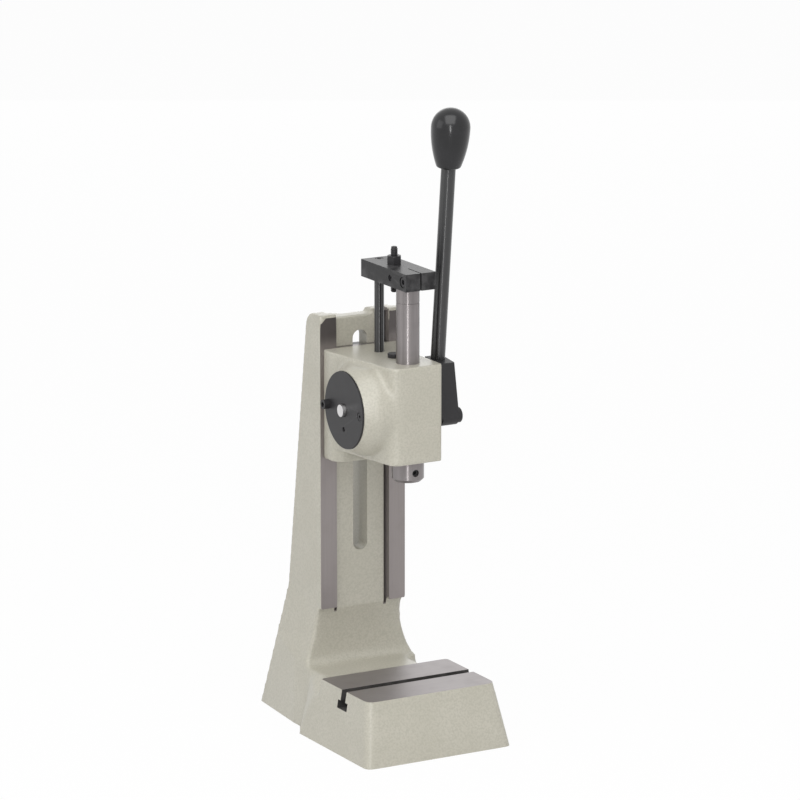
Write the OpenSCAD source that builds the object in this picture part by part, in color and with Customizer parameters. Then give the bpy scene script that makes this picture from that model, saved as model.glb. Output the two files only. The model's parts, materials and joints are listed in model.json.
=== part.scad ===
// Hand press: a rack and pinion bench press whose head slides on a cast column.
// +X points right, +Y back and +Z up. The origin is on the bench, below the ram's axis.
// Sizes are in millimetres and angles in degrees.

/* [Base] */
// Width of the ground table
table_w = 120; // [108:1:140]
// Depth of the ground table
table_d = 80.5; // [74:0.5:84]
// Reach of the table in front of the ram's axis
table_front = 41; // [38:0.5:46]
// Height of the table above the bench
table_h = 52; // [48:1:60]
// Outward draft of each side of the foot, over its height
foot_side_draft = 8.4; // [3:0.2:10]
// Forward draft of the front of the foot, over its height
foot_front_draft = 13.6; // [5:0.2:16]
// End of the foot's tail behind the ram's axis
foot_back = 64; // [60:0.5:70]
// Height of the foot's tail at its end
foot_tail_h = 7; // [4:0.5:12]
// Drop of the cast ledge behind the table
ledge_drop = 3; // [1:0.5:5]
// End of the ledge's taper behind the ram's axis
taper_back = 73; // [70:0.5:76]
// Width of the neck of the T-slot
tslot_neck_w = 8; // [6:0.5:12]
// Depth of the neck of the T-slot
tslot_neck_h = 9; // [7:0.5:12]
// Width of the undercut of the T-slot
tslot_foot_w = 16; // [13:0.5:22]
// Height of the undercut of the T-slot
tslot_foot_h = 6.8; // [5:0.2:9]

/* [Column] */
// Distance from the ram's axis back to the ways
throat = 75.4; // [74:0.2:84]
// Width of the column across the ways
column_w = 80; // [76:1:90]
// Width of each way
way_w = 15.2; // [12:0.2:18]
// Height of the ways above the web
way_rise = 5; // [4:0.2:7]
// Height of the lower end of the ways above the bench
way_bottom = 99.5; // [95:0.5:115]
// Chamfer at the upper outer corner of each way
way_chamfer = 5; // [2:0.5:7]
// Height of the top of the column above the bench
column_top = 349.5; // [346:0.5:380]
// Height of the cast cap above each way
cap_h = 5; // [3:0.5:8]
// Rise of the two ears above the top of the web
ear_rise = 4; // [2:0.5:6]
// Distance between the two ears
ear_gap = 40; // [34:1:46]
// Width of the relief groove beside each way
relief_w = 2.5; // [1.5:0.1:3]
// Depth of the relief groove beside each way
relief_d = 3.6; // [2:0.2:5]
// Depth of the column at its top, from the ways to its back edge
column_top_d = 23.7; // [20.5:0.2:30]
// Lean of the upper back edge of the column
back_lean = 8.1; // [6:0.1:10]
// Lean of the lower back edge of the column
tail_lean = 14.6; // [13:0.1:17]
// Back end of the column on the bench, behind the ram's axis
tail_back = 161.3; // [155:0.2:170]
// Half width of the column's back end on the bench
tail_half_w = 52.2; // [46:0.2:56]
// Radius of the rounded upper back corner
top_corner_r = 13; // [6:1:16]
// Radius of the bend in the back edge
back_bend_r = 120; // [60:10:200]
// Radius of the hollow between the column and the table
front_fillet_r = 14; // [8:1:20]
// Half width of the column at the bench
column_root = 59; // [54:0.5:62]
// Height at which the flare of the column starts
flare_top = 95; // [86:1:98]
// Height at which the flare turns into straight drafted sides
flare_bottom = 52; // [46:1:60]
// Half width of the column at the lower end of the flare
flare_w = 50; // [46:0.5:52]
// Thickness of the web between the ways
web_t = 13.4; // [11:0.2:16]
// Width of the channel behind the web
channel_w = 24; // [22.5:0.5:30]
// Height of the floor of the channel
channel_floor = 14; // [8:1:24]
// Width of the clamping slot in the web
slot_w = 13.5; // [12:0.5:16]
// Height of the lower end of the clamping slot
slot_bottom = 145; // [125:1:150]
// Height of the upper end of the clamping slot
slot_top = 333; // [331:1:342]

/* [Head] */
// Height of the head's underside above the bench
head_z = 229; // [226:1:231]
// Height of the head
head_h = 92; // [90:0.5:96]
// Width of the rear block of the head
head_w = 73; // [68:0.5:79]
// Depth of the rear block of the head
head_block_d = 21.3; // [19:0.1:23]
// Width of the nose of the head
nose_w = 44; // [42:0.5:46]
// Reach of the nose in front of the ram's axis
nose_front = 18.5; // [16:0.5:22]
// Rise of the nose's underside above the head's underside
nose_lift = 11; // [3:0.5:12]
// Radius of the nose's left front corner
nose_left_r = 12; // [6:0.5:14]
// Radius of the nose's right front corner
nose_right_r = 3; // [2:0.5:6]
// Radius of the hollow between nose and rear block
nose_fillet_r = 5; // [3:0.5:6]
// Height of the pinion's axis above the head's underside
axis_rise = 53.2; // [50:0.2:55]
// Diameter of the spring housing
housing_d = 69; // [67:0.5:72]
// Distance from the ram's axis to the left face of the spring housing
housing_reach = 44.8; // [42:0.2:50]
// Depth of the spring chamber
chamber_depth = 13.8; // [12.5:0.1:15]
// Wall of the spring housing
housing_wall = 5; // [4:0.2:5.5]

/* [Clamp] */
// Diameter of the clamp bolts
bolt_d = 10; // [8:0.5:11]
// Height of the lower clamp bolt above the head's underside
bolt_low = 16; // [13:0.5:22]
// Distance between the clamp bolts
bolt_pitch = 60; // [50:0.5:64]
// Depth of the bolts' thread in the head
bolt_grip = 14; // [11:0.5:16]
// Thickness of the clamp plate
clamp_t = 10; // [7:0.5:12]
// Height of the clamp plate
clamp_h = 84; // [78:0.5:88]
// Thickness of the clamp washers
clamp_washer_t = 2; // [1.5:0.1:3]

/* [Ram] */
// Diameter of the ram
ram_d = 19; // [18:0.5:20]
// Height of the collar at the lower end of the ram
collar_h = 17; // [14:0.5:20]
// Diameter of the collar
collar_d = 26.7; // [25:0.1:30]
// Chamfer at the lower edge of the collar
collar_chamfer = 2.5; // [1:0.1:3]
// Diameter of the tool bore
tool_d = 10; // [8:0.5:11]
// Depth of the tool bore
tool_depth = 28; // [22:1:32]
// Diameter of the tool set screw
tool_screw_d = 6; // [5:0.5:7]
// Free length of the ram between the head and the stop plate
ram_free = 63.5; // [60:0.5:75]
// Module of the rack and the pinion
gear_m = 1.5; // [1.4:0.05:1.55]
// Number of teeth on the pinion
gear_z = 20; // [18:1:20]
// Stroke of the ram
stroke = 34; // [25:1:40]

/* [Stop] */
// Width of the stop plate
plate_w = 27.7; // [26:0.1:32]
// Reach of the stop plate in front of the ram's axis
plate_front = 21.5; // [20:0.5:24]
// Reach of the stop plate behind the ram's axis
plate_back = 53; // [52.5:0.5:60]
// Thickness of the stop plate
plate_t = 14.4; // [13:0.2:18]
// Distance of the stop screw behind the ram's axis
stop_y = 22.5; // [20:0.5:26]
// Diameter of the stop screw
stop_d = 6; // [5:0.5:7]
// Length of the stop screw below the plate
stop_below = 9; // [7:0.5:14]
// Length of the stop screw above its nut
stop_above = 7.5; // [4:0.5:9]
// Width across flats of the stop lock nut
nut_af = 11; // [10:0.5:13]
// Height of the stop lock nut
nut_h = 7; // [5:0.5:10]
// Diameter of the stop pad
pad_d = 11; // [9:0.5:13]
// Height of the stop pad
pad_h = 3.4; // [2:0.2:5]
// Distance of the guide rod behind the ram's axis
guide_y = 47.5; // [46:0.5:48]
// Diameter of the guide rod
guide_d = 8; // [7:0.5:9]
// Depth to which the guide rod stands in the head
guide_in = 36; // [30:1:40]

/* [Pinion and lever] */
// Diameter of the pinion shaft
shaft_d = 14; // [13:0.5:15]
// Diameter of the shaft's visible left end
shaft_tip_d = 10; // [9:0.5:11]
// Length of the shaft's left end outside the cover
shaft_tip = 3.2; // [2:0.2:5]
// Width of the pinion
gear_w = 14; // [12:0.5:16]
// Distance of the spring cover's edge inside the housing's edge
cover_margin = 2.5; // [1.5:0.1:3]
// Thickness of the spring cover
cover_t = 3; // [2.5:0.1:4]
// Distance of the cover's screws from the cover's edge
cover_edge = 5.5; // [5:0.1:6]
// Diameter of the cover's screws
cover_screw_d = 5; // [4:0.5:5.5]
// Thickness of the return spring's strip
strip_t = 1.2; // [0.8:0.1:1.4]
// Turns of the return spring
spring_turns = 4; // [3:1:5]
// Diameter of the drive disc
disc_d = 56; // [54:0.5:58]
// Thickness of the drive disc
disc_t = 8.6; // [7:0.2:10]
// Thickness of the lever hub
hub_t = 15; // [14:0.5:18]
// Height of the hub's top above the shaft's axis
hub_top = 34.8; // [32:0.2:42]
// Reach of the hub's top in front of the rod's axis
hub_front = 14.2; // [12:0.2:16]
// Reach of the hub's top behind the rod's axis
hub_back = 8; // [7.5:0.1:10]
// Forward lean of the lever at rest
lever_lean = 5.9; // [2:0.1:10]
// Diameter of the lever rod
rod_d = 12; // [10:0.5:13]
// Distance from the shaft's axis to the knob's lower end
lever_len = 197.5; // [170:0.5:220]
// Diameter of the knob
knob_d = 32; // [28:0.5:36]
// Length of the knob
knob_len = 49.4; // [46:0.2:58]
// Diameter of the knob's lower end
knob_neck_d = 19.6; // [18:0.2:22]
// Diameter of the lever lock screw
lock_d = 8; // [7:0.5:9]
// Height of the lever lock screw's head
lock_head_h = 4.2; // [3.5:0.1:8]

/* [Clearances] */
// Radial clearance of a shaft that turns or slides in its bore
run_fit = 0.05; // [0.02:0.01:0.1]
// Clearance between flat sliding faces
slide_fit = 0.1; // [0.05:0.05:0.2]
// Radial clearance of a piece that is pressed or screwed into its seat
snug = 0.02; // [0.01:0.01:0.04]
// Radial clearance of a screw in a through hole
bolt_gap = 0.3; // [0.2:0.1:0.5]
// Clearance between bodies that move past each other
free_gap = 0.4; // [0.3:0.1:0.6]

/* [Hidden] */
$fn = 64;
// Overshoot of cutting shapes past the faces they cut
over = 1;
// Radius of a cap screw's head, as a share of its diameter
cap_r = 0.8;
paint = "#bfbcaa";
steel = "#9c9698";
black = "#2c2c2e";
bronze = "#a98a55";

// Column and base places
web_y = throat + way_rise;
web_back = web_y + web_t;
way_top = column_top - cap_h;
toe_y = web_y - front_fillet_r;
ledge_z = table_h - ledge_drop;
table_back = table_d - table_front;
root_y = table_back - 5;
way_in_x = column_w / 2 - way_w;
cap_lip = 0.8;
skirt_step = 1.5;
relief_drop = 4;
tslot_y = (table_back - table_front) / 2;
foot_w = table_w + 2 * foot_side_draft;
foot_front = table_front + foot_front_draft;
// Three corners and the normal of the plane that trims each rear side of the foot
taper_a = [table_w / 2, table_back + 1.5, ledge_z];
taper_b = [flare_w, taper_back, ledge_z];
taper_c = [foot_w / 2 - foot_side_draft * foot_tail_h / table_h, foot_back, foot_tail_h];
taper_n = cross(taper_c - taper_a, taper_b - taper_a);
back_top_y = throat + column_top_d;

// Head places
head_back = throat - slide_fit;
head_top = head_z + head_h;
block_front = head_back - head_block_d;
nose_z = head_z + nose_lift;
nose_x = nose_w / 2;
tongue_w = column_w - 2 * way_w - 2 * slide_fit;
tongue_y = web_y - free_gap;
bolt_r = bolt_d / 2;
bolt_heights = [head_z + bolt_low, head_z + bolt_low + bolt_pitch];
clamp_y = web_back + slide_fit;
clamp_back = clamp_y + clamp_t;

// Ram and rack places
ram_r = ram_d / 2;
collar_top = nose_z - free_gap;
ram_bottom = collar_top - collar_h;
plate_z = head_top + ram_free;
plate_top = plate_z + plate_t;
plate_skin = 4;
ram_top = plate_top - plate_skin;
rack_flat = gear_m;
rack_pitch = PI * gear_m;
rack_pitch_y = ram_r - rack_flat - gear_m;
pressure_angle = 20;
backlash = 0.12;
gear_r = gear_m * gear_z / 2;
gear_tip_r = gear_r + gear_m;
gear_root_r = gear_r - 1.25 * gear_m;
gear_base_r = gear_r * cos(pressure_angle);
mesh_gap = 0.1;
cavity_r = gear_tip_r + 0.8;
rack_run_out = 12;
ram_groove_drop = 13.5;
ram_groove_h = 0.8;
ram_groove_d = 0.4;

// Pinion shaft places
axis_y = rack_pitch_y + gear_r + mesh_gap;
axis_z = head_z + axis_rise;
shaft_r = shaft_d / 2;
cover_d = housing_d - 2 * cover_margin;
cover_screw_r = cover_d / 2 - cover_edge;
cover_x = -housing_reach - cover_t;
chamber_x = -housing_reach + chamber_depth;
chamber_r = housing_d / 2 - housing_wall;
gear_x = gear_w / 2;
bush_end_x = gear_x + free_gap;
bush_r = shaft_r + 3;
disc_x = nose_x + free_gap;
hub_x = disc_x + disc_t;
hub_mid_x = hub_x + hub_t / 2;
hub_end_x = hub_x + hub_t;
hub_seat_r = shaft_r - 1;
spring_gap = 0.6;
spring_in_r = shaft_r + spring_gap;
spring_out_r = cover_screw_r - cover_screw_d / 2 - spring_gap;
cover_thread = 7;
flush_head_r = 0.65 * cover_screw_d;
flush_head_t = 2;
flush_sink = 0.3;
spanner_r = 16;
spanner_hole_r = 2;
spring_side_gap = 2;
pin_r = 2;
pin_inset = 0.6;
key_w = 4;
end_screw_d = 6;
end_screw_grip = 12;
end_washer_t = 2;

// Lever places, in the lever's own upright frame
lock_r = lock_d / 2;
lug_r = lock_r + 3.5;
lug_y = -19.5;
lug_z = -9.2;
rod_r = rod_d / 2;
rod_seat = hub_seat_r + 8;
hub_cap_h = 8;
hub_rim = 9;
stub_r = 4;
stub_len = 18;
insert_r = stub_r + 3;
insert_len = stub_len + 2;
knob_r = knob_d / 2;

// Stop places
tool_screw_rise = 8.4;
stop_r = stop_d / 2;
pad_stem = 8;
pad_stem_r = 3;
plate_mid_z = plate_z + plate_t / 2;
guide_screw_d = 4;
guide_screw_len = 12;
guide_head_h = 2;
guide_sink = 2.2;
nut_top = plate_top + nut_h;
guide_r = guide_d / 2;
guide_bottom = head_top - guide_in;
guide_bore_bottom = guide_bottom - stroke - 2;
slit_w = 1.2;
clamp_screw_y = -(ram_r + plate_front) / 2;
clamp_screw_d = 5;
clamp_screw_sink = 0.5;
clamp_screw_wall = 3;
set_screw_y = 5;
set_screw_d = 5;
set_screw_sink = 0.8;
tool_screw_sink = 2;

// Shared shapes

// A cylinder along X between two places
module x_rod(x0, x1, r) {
    translate([x0, 0, 0]) rotate([0, 90, 0]) cylinder(h = x1 - x0, r = r);
}

// A cylinder along Y between two places
module y_rod(y0, y1, r) {
    translate([0, y0, 0]) rotate([-90, 0, 0]) cylinder(h = y1 - y0, r = r);
}

// A profile drawn in Y and Z, extruded along X
module x_prism(x0, x1) {
    translate([x0, 0, 0]) rotate([90, 0, 90]) linear_extrude(x1 - x0) children();
}

// A profile drawn in X and Z, extruded along Y
module y_prism(y0, y1) {
    translate([0, y1, 0]) rotate([90, 0, 0]) linear_extrude(y1 - y0) children();
}

// A hexagonal bar along Z, measured across its flats
module hex_bar(af, h) {
    cylinder(h = h, r = af / 2 / cos(30), $fn = 6);
}

// What a rounded corner takes off a square one, with the corner at the origin
module corner_cut(r) {
    difference() {
        translate([-over, -over]) square(r + over);
        translate([r, r]) circle(r);
    }
}

// A socket cap screw along +Z with its head's seat at the origin and its shank below
module cap_screw(d, head_h, shank) {
    difference() {
        union() {
            cylinder(h = head_h, r = cap_r * d);
            translate([0, 0, -shank]) cylinder(h = shank + over, r = d / 2);
        }
        translate([0, 0, head_h / 2]) hex_bar(cap_r * d, d);
    }
}

// A socket set screw along +Z with its tip at the origin
module set_screw(d, length) {
    difference() {
        cylinder(h = length, r = d / 2 - snug);
        translate([0, 0, length - 0.5 * d]) hex_bar(0.5 * d, d);
    }
}

// Moves a shape to the pinion's axis
module at_axis() {
    translate([0, axis_y, axis_z]) children();
}

// Moves a shape from the lever's upright frame to the leaning lever
module at_lever() {
    at_axis() rotate([lever_lean, 0, 0]) children();
}

// Frame

module foot_side() {
    polygon([
        [-foot_front, 0], [foot_back, 0], [foot_back, foot_tail_h], [taper_back, ledge_z],
        [table_back, ledge_z], [table_back, table_h], [-table_front, table_h]
    ]);
}

module foot_face() {
    polygon([
        [-foot_w / 2, 0], [foot_w / 2, 0], [table_w / 2, table_h], [-table_w / 2, table_h]
    ]);
}

// What lies outside a plane through a corner
module outside(corner, normal) {
    size = 2 * foot_w;
    translate(corner) rotate([0, -asin(normal[2] / norm(normal)), atan2(normal[1], normal[0])])
        translate([0, -size / 2, -size / 2]) cube(size);
}

module foot_block() {
    difference() {
        intersection() {
            x_prism(-foot_w, foot_w) foot_side();
            y_prism(-foot_front - over, taper_back + over) foot_face();
        }
        outside(taper_a, taper_n);
        mirror([1, 0, 0]) outside(taper_a, taper_n);
    }
}

// Place of the upper back edge at a height
function back_y(z) = back_top_y + (column_top - z) * tan(back_lean);
// Place of the lower back edge at a height
function tail_y(z) = tail_back - z * tan(tail_lean);
// Height at which the two back edges would meet
bend_z = (tail_back - back_y(0)) / (tan(tail_lean) - tan(back_lean));
bend_reach = back_bend_r * tan((tail_lean - back_lean) / 2);
bend_up = [back_y(bend_z) - bend_reach * sin(back_lean), bend_z + bend_reach * cos(back_lean)];
bend_down = [back_y(bend_z) + bend_reach * sin(tail_lean), bend_z - bend_reach * cos(tail_lean)];
bend_centre = bend_up + back_bend_r * [cos(back_lean), sin(back_lean)];
top_centre = [
    back_top_y - top_corner_r * (1 - sin(back_lean)) / cos(back_lean),
    column_top - top_corner_r
];

module column_side() {
    difference() {
        union() {
            polygon([
                [root_y, 0], [tail_back, 0], bend_down, bend_up,
                top_centre + top_corner_r * [cos(back_lean), sin(back_lean)],
                [top_centre[0], column_top], [web_y, column_top],
                [web_y, ledge_z + front_fillet_r], [toe_y, ledge_z], [root_y, ledge_z]
            ]);
            translate(top_centre) intersection() {
                circle(top_corner_r);
                square(2 * top_corner_r);
            }
        }
        translate([toe_y, ledge_z + front_fillet_r]) circle(front_fillet_r);
        translate(bend_centre) circle(back_bend_r, $fn = 256);
    }
}

// Right half of the column seen from the front
flare_run = flare_w - column_w / 2;
flare_r = (pow(flare_top - flare_bottom, 2) + pow(flare_run, 2)) / 2 / flare_run;

module column_half_face() {
    difference() {
        polygon([
            [0, 0], [column_root, 0], [flare_w, flare_bottom], [flare_w, flare_top],
            [column_w / 2, flare_top], [column_w / 2, column_top + over], [0, column_top + over]
        ]);
        translate([column_w / 2 + flare_r, flare_top]) circle(flare_r, $fn = 256);
    }
}

// Three corners and the normal of the plane that draws in the column's lower right side towards the back
skirt_a = [column_w / 2 + skirt_step, tail_y(flare_top), flare_top];
skirt_b = [tail_half_w, tail_back, 0];
skirt_c = [column_root, web_y, 0];
skirt_n = cross(skirt_a - skirt_b, skirt_c - skirt_b);

module skirt_cut() {
    difference() {
        outside(skirt_a, skirt_n);
        translate([0, 0, flare_top]) cube([2 * foot_w, 2 * tail_back, column_top]);
    }
}

module column_block() {
    difference() {
        intersection() {
            x_prism(-foot_w, foot_w) column_side();
            y_prism(root_y - over, tail_back + over) {
                column_half_face();
                mirror([1, 0]) column_half_face();
            }
        }
        skirt_cut();
        mirror([1, 0, 0]) skirt_cut();
    }
}

// One way and its cap, on the right
module way() {
    y_prism(throat, web_y + over) polygon([
        [way_in_x, way_bottom], [column_w / 2, way_bottom], [column_w / 2, way_top - way_chamfer],
        [column_w / 2 - way_chamfer, way_top], [way_in_x, way_top]
    ]);
    y_prism(throat - cap_lip, web_y + over) polygon([
        [way_in_x, way_top], [column_w / 2 - way_chamfer, way_top], [column_w / 2, way_top - way_chamfer],
        [column_w / 2, column_top], [way_in_x, column_top]
    ]);
}

// The groove beside the right way
module relief_cut() {
    bottom = way_bottom - relief_drop;
    translate([way_in_x - relief_w, web_y - over, bottom])
        cube([relief_w, relief_d + over, way_top - bottom]);
}

module slot_cut() {
    ends = [slot_bottom + slot_w / 2, slot_top - slot_w / 2];
    for (z = ends) translate([0, 0, z]) y_rod(web_y - over, web_back + over, slot_w / 2);
    translate([-slot_w / 2, web_y - over, ends[0]])
        cube([slot_w, web_t + 2 * over, ends[1] - ends[0]]);
}

module tslot_cut() {
    translate([-foot_w, tslot_y - tslot_neck_w / 2, table_h - tslot_neck_h])
        cube([2 * foot_w, tslot_neck_w, tslot_neck_h + over]);
    translate([-foot_w, tslot_y - tslot_foot_w / 2, table_h - tslot_neck_h - tslot_foot_h])
        cube([2 * foot_w, tslot_foot_w, tslot_foot_h]);
}

module frame_casting() {
    color(paint) difference() {
        union() {
            foot_block();
            column_block();
            way();
            mirror([1, 0, 0]) way();
        }
        tslot_cut();
        slot_cut();
        relief_cut();
        mirror([1, 0, 0]) relief_cut();
        translate([-channel_w / 2, web_back, channel_floor])
            cube([channel_w, tail_back, column_top]);
        translate([-ear_gap / 2, root_y, column_top - ear_rise])
            cube([ear_gap, tail_back, column_top]);
    }
}

// Head

module head_plan() {
    difference() {
        translate([-nose_x, -nose_front]) square([nose_w, nose_front + head_back]);
        translate([-nose_x, -nose_front]) corner_cut(nose_left_r);
        translate([nose_x, -nose_front]) mirror([1, 0]) corner_cut(nose_right_r);
    }
}

module block_plan() {
    difference() {
        translate([-head_w / 2, block_front]) square([head_w, head_block_d]);
        translate([-head_w / 2, block_front]) corner_cut(nose_fillet_r);
        translate([head_w / 2, block_front]) mirror([1, 0]) corner_cut(nose_fillet_r);
    }
    for (side = [0, 1]) mirror([side, 0]) translate([nose_x, block_front]) difference() {
        translate([-over, -nose_fillet_r]) square([nose_fillet_r + over, nose_fillet_r + over]);
        translate([nose_fillet_r, -nose_fillet_r]) circle(nose_fillet_r);
    }
    translate([-tongue_w / 2, head_back - over]) square([tongue_w, tongue_y - head_back + over]);
}

module head_casting() {
    color(paint) difference() {
        union() {
            translate([0, 0, nose_z]) linear_extrude(head_top - nose_z) head_plan();
            translate([0, 0, head_z]) linear_extrude(head_h) block_plan();
            at_axis() x_rod(-housing_reach, 0, housing_d / 2);
        }
        translate([0, 0, nose_z - over]) cylinder(h = head_h + 2 * over, r = ram_r + run_fit);
        at_axis() {
            x_rod(-housing_reach - over, chamber_x, chamber_r);
            x_rod(chamber_x - over, bush_end_x, cavity_r);
            x_rod(bush_end_x - over, nose_x + over, bush_r + snug);
            for (side = [-1, 1]) translate([0, side * cover_screw_r, 0])
                x_rod(chamber_x - over, chamber_x + cover_thread + over, cover_screw_d / 2 + snug);
        }
        for (z = bolt_heights) translate([0, 0, z])
            y_rod(head_back - bolt_grip - over, tongue_y + over, bolt_r + snug);
        translate([0, guide_y, guide_bore_bottom])
            cylinder(h = head_top - guide_bore_bottom + over, r = guide_r + run_fit);
        translate([0, stop_y, head_top - pad_stem - over])
            cylinder(h = pad_stem + 2 * over, r = pad_stem_r + snug);
    }
}

// Clamp behind the column

module clamp_plate() {
    color(black) difference() {
        translate([-channel_w / 2 + free_gap, clamp_y, head_z + (head_h - clamp_h) / 2])
            cube([channel_w - 2 * free_gap, clamp_t, clamp_h]);
        for (z = bolt_heights) translate([0, 0, z])
            y_rod(clamp_y - over, clamp_back + over, bolt_r + bolt_gap);
    }
}

module clamp_washers() {
    color(steel) for (z = bolt_heights) translate([0, 0, z]) difference() {
        y_rod(clamp_back, clamp_back + clamp_washer_t, bolt_d);
        y_rod(clamp_back - over, clamp_back + clamp_washer_t + over, bolt_r + bolt_gap);
    }
}

module clamp_bolts() {
    seat_y = clamp_back + clamp_washer_t;
    color(black) for (z = bolt_heights) translate([0, seat_y, z]) rotate([-90, 0, 0])
        cap_screw(bolt_d, bolt_d, seat_y - head_back + bolt_grip);
}

// Bushes and return spring

module pinion_bush_left() {
    color(bronze) difference() {
        at_axis() x_rod(chamber_x, -bush_end_x, cavity_r - snug);
        at_axis() x_rod(chamber_x - over, -bush_end_x + over, shaft_r + run_fit);
        translate([0, 0, nose_z]) cylinder(h = head_top - nose_z, r = ram_r + free_gap);
    }
}

module pinion_bush_right() {
    color(bronze) at_axis() difference() {
        x_rod(bush_end_x, nose_x, bush_r);
        x_rod(bush_end_x - over, nose_x + over, shaft_r + run_fit);
    }
}

// Points along a flat spiral at an offset from its middle line
function spiral(offset, steps) = [
    for (i = [0 : steps])
        let (
            part = i / steps,
            turn = 360 * spring_turns * part,
            r = spring_in_r + strip_t / 2 + (spring_out_r - spring_in_r - strip_t) * part + offset
        )
        r * [cos(turn), sin(turn)]
];

function reversed(list) = [for (i = [len(list) - 1 : -1 : 0]) list[i]];

module return_spring() {
    steps = 30 * spring_turns;
    color(steel) at_axis() x_prism(-housing_reach + spring_side_gap, chamber_x - spring_side_gap)
        polygon(concat(spiral(-strip_t / 2, steps), reversed(spiral(strip_t / 2, steps))));
}

module spring_cover() {
    color(black) at_axis() difference() {
        x_rod(cover_x, -housing_reach, cover_d / 2);
        x_rod(cover_x - over, -housing_reach + over, shaft_tip_d / 2 + free_gap);
        for (side = [-1, 1]) translate([0, side * cover_screw_r, 0])
            x_rod(cover_x - over, -housing_reach + over, cover_screw_d / 2 + bolt_gap);
        translate([0, -cover_screw_r, 0])
            x_rod(cover_x - over, cover_x + flush_head_t, flush_head_r + bolt_gap);
        translate([0, 0, -spanner_r]) x_rod(cover_x - over, cover_x + cover_t / 2, spanner_hole_r);
    }
}

module spring_anchor_screw() {
    color(black) at_axis() translate([cover_x, cover_screw_r, 0]) rotate([0, -90, 0])
        cap_screw(cover_screw_d, cover_screw_d, chamber_x + cover_thread - cover_x);
}

module cover_screw() {
    color(black) at_axis() translate([0, -cover_screw_r, 0]) difference() {
        union() {
            x_rod(cover_x + flush_sink, cover_x + flush_head_t, flush_head_r);
            x_rod(cover_x + flush_sink, chamber_x + cover_thread, cover_screw_d / 2);
        }
        translate([cover_x, 0, 0]) rotate([0, 90, 0]) hex_bar(cover_screw_d / 2, flush_head_t);
    }
}

module stop_pad() {
    color(black) translate([0, stop_y, head_top]) {
        cylinder(h = pad_h, r = pad_d / 2);
        translate([0, 0, -pad_stem]) cylinder(h = pad_stem + over, r = pad_stem_r);
    }
}

// Pinion, disc and lever

module pinion_shaft() {
    color(steel) at_lever() difference() {
        union() {
            x_rod(cover_x - shaft_tip, -housing_reach, shaft_tip_d / 2);
            x_rod(-housing_reach + free_gap, hub_x, shaft_r);
            x_rod(-housing_reach - over, -housing_reach + over, shaft_tip_d / 2);
            x_rod(hub_x - over, hub_end_x - free_gap, hub_seat_r);
        }
        x_rod(hub_end_x - end_screw_grip - over, hub_end_x + over, end_screw_d / 2 + snug);
        translate([disc_x + over, -key_w / 2, shaft_r - key_w / 2]) cube([disc_t - 2 * over, key_w, key_w]);
        rotate([-lever_lean, 0, 0]) cylinder(h = 2 * shaft_d, r = pin_r + snug, center = true);
    }
}

function involute(a) = tan(a) * 180 / PI - a;
// Half the angle that a tooth takes up at a radius
function tooth_half(r) = 90 / gear_z - backlash / gear_r * 90 / PI
    + involute(pressure_angle) - involute(acos(min(1, gear_base_r / r)));
flank_steps = 5;
flank = [for (i = [0 : flank_steps]) gear_base_r + (gear_tip_r - gear_base_r) * i / flank_steps];

module gear_outline() {
    tooth = concat(
        [[gear_root_r, -tooth_half(gear_base_r)]],
        [for (r = flank) [r, -tooth_half(r)]],
        [for (r = reversed(flank)) [r, tooth_half(r)]],
        [[gear_root_r, tooth_half(gear_base_r)]]
    );
    polygon([
        for (i = [0 : gear_z - 1]) for (p = tooth)
            let (a = p[1] + (i + 0.5) * 360 / gear_z) p[0] * [-cos(a), -sin(a)]
    ]);
}

module pinion_gear() {
    color(steel) at_axis() difference() {
        x_prism(-gear_x, gear_x) gear_outline();
        x_rod(-gear_x - over, gear_x + over, shaft_r + snug);
        cylinder(h = 3 * gear_r, r = pin_r + snug, center = true);
    }
}

module pinion_pin() {
    color(steel) at_axis() cylinder(h = 2 * (gear_root_r - pin_inset), r = pin_r, center = true);
}

module drive_disc() {
    color(black) at_lever() difference() {
        x_rod(disc_x, hub_x, disc_d / 2);
        x_rod(disc_x - over, hub_x + over, shaft_r + snug);
        translate([disc_x + over, -key_w / 2 - snug, 0])
            cube([disc_t - 2 * over + snug, key_w + 2 * snug, shaft_r + key_w / 2 + snug]);
        translate([0, lug_y, lug_z]) x_rod(disc_x + over, hub_x + over, lock_r + snug);
    }
}

module drive_key() {
    color(steel) at_lever() translate([disc_x + over + snug, -key_w / 2 + snug, shaft_r - key_w / 2 + snug])
        cube([disc_t - 2 * over - 2 * snug, key_w - 2 * snug, key_w - snug]);
}

module hub_outline() {
    hull() {
        translate([-hub_front, hub_top - hub_cap_h]) square([hub_front + hub_back, hub_cap_h]);
        translate([lug_y, lug_z]) circle(lug_r);
        circle(hub_seat_r + hub_rim);
    }
}

module lever_hub() {
    color(black) at_lever() difference() {
        x_prism(hub_x, hub_end_x) hub_outline();
        x_rod(hub_x - over, hub_end_x + over, hub_seat_r + snug);
        translate([0, lug_y, lug_z]) x_rod(hub_x - over, hub_end_x + over, lock_r + bolt_gap);
        translate([hub_mid_x, 0, rod_seat]) cylinder(h = hub_top, r = rod_r + snug);
    }
}

module lever_lock_screw() {
    color(black) at_lever() translate([hub_end_x, lug_y, lug_z]) rotate([0, 90, 0])
        cap_screw(lock_d, lock_head_h, hub_end_x - disc_x - 2 * over);
}

module shaft_end_washer() {
    color(steel) at_lever() difference() {
        x_rod(hub_end_x, hub_end_x + end_washer_t, hub_seat_r + 3);
        x_rod(hub_end_x - over, hub_end_x + end_washer_t + over, end_screw_d / 2 + bolt_gap);
    }
}

module shaft_end_screw() {
    color(black) at_lever() translate([hub_end_x + end_washer_t, 0, 0]) rotate([0, 90, 0])
        cap_screw(end_screw_d, end_screw_d, end_washer_t + end_screw_grip);
}

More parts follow.
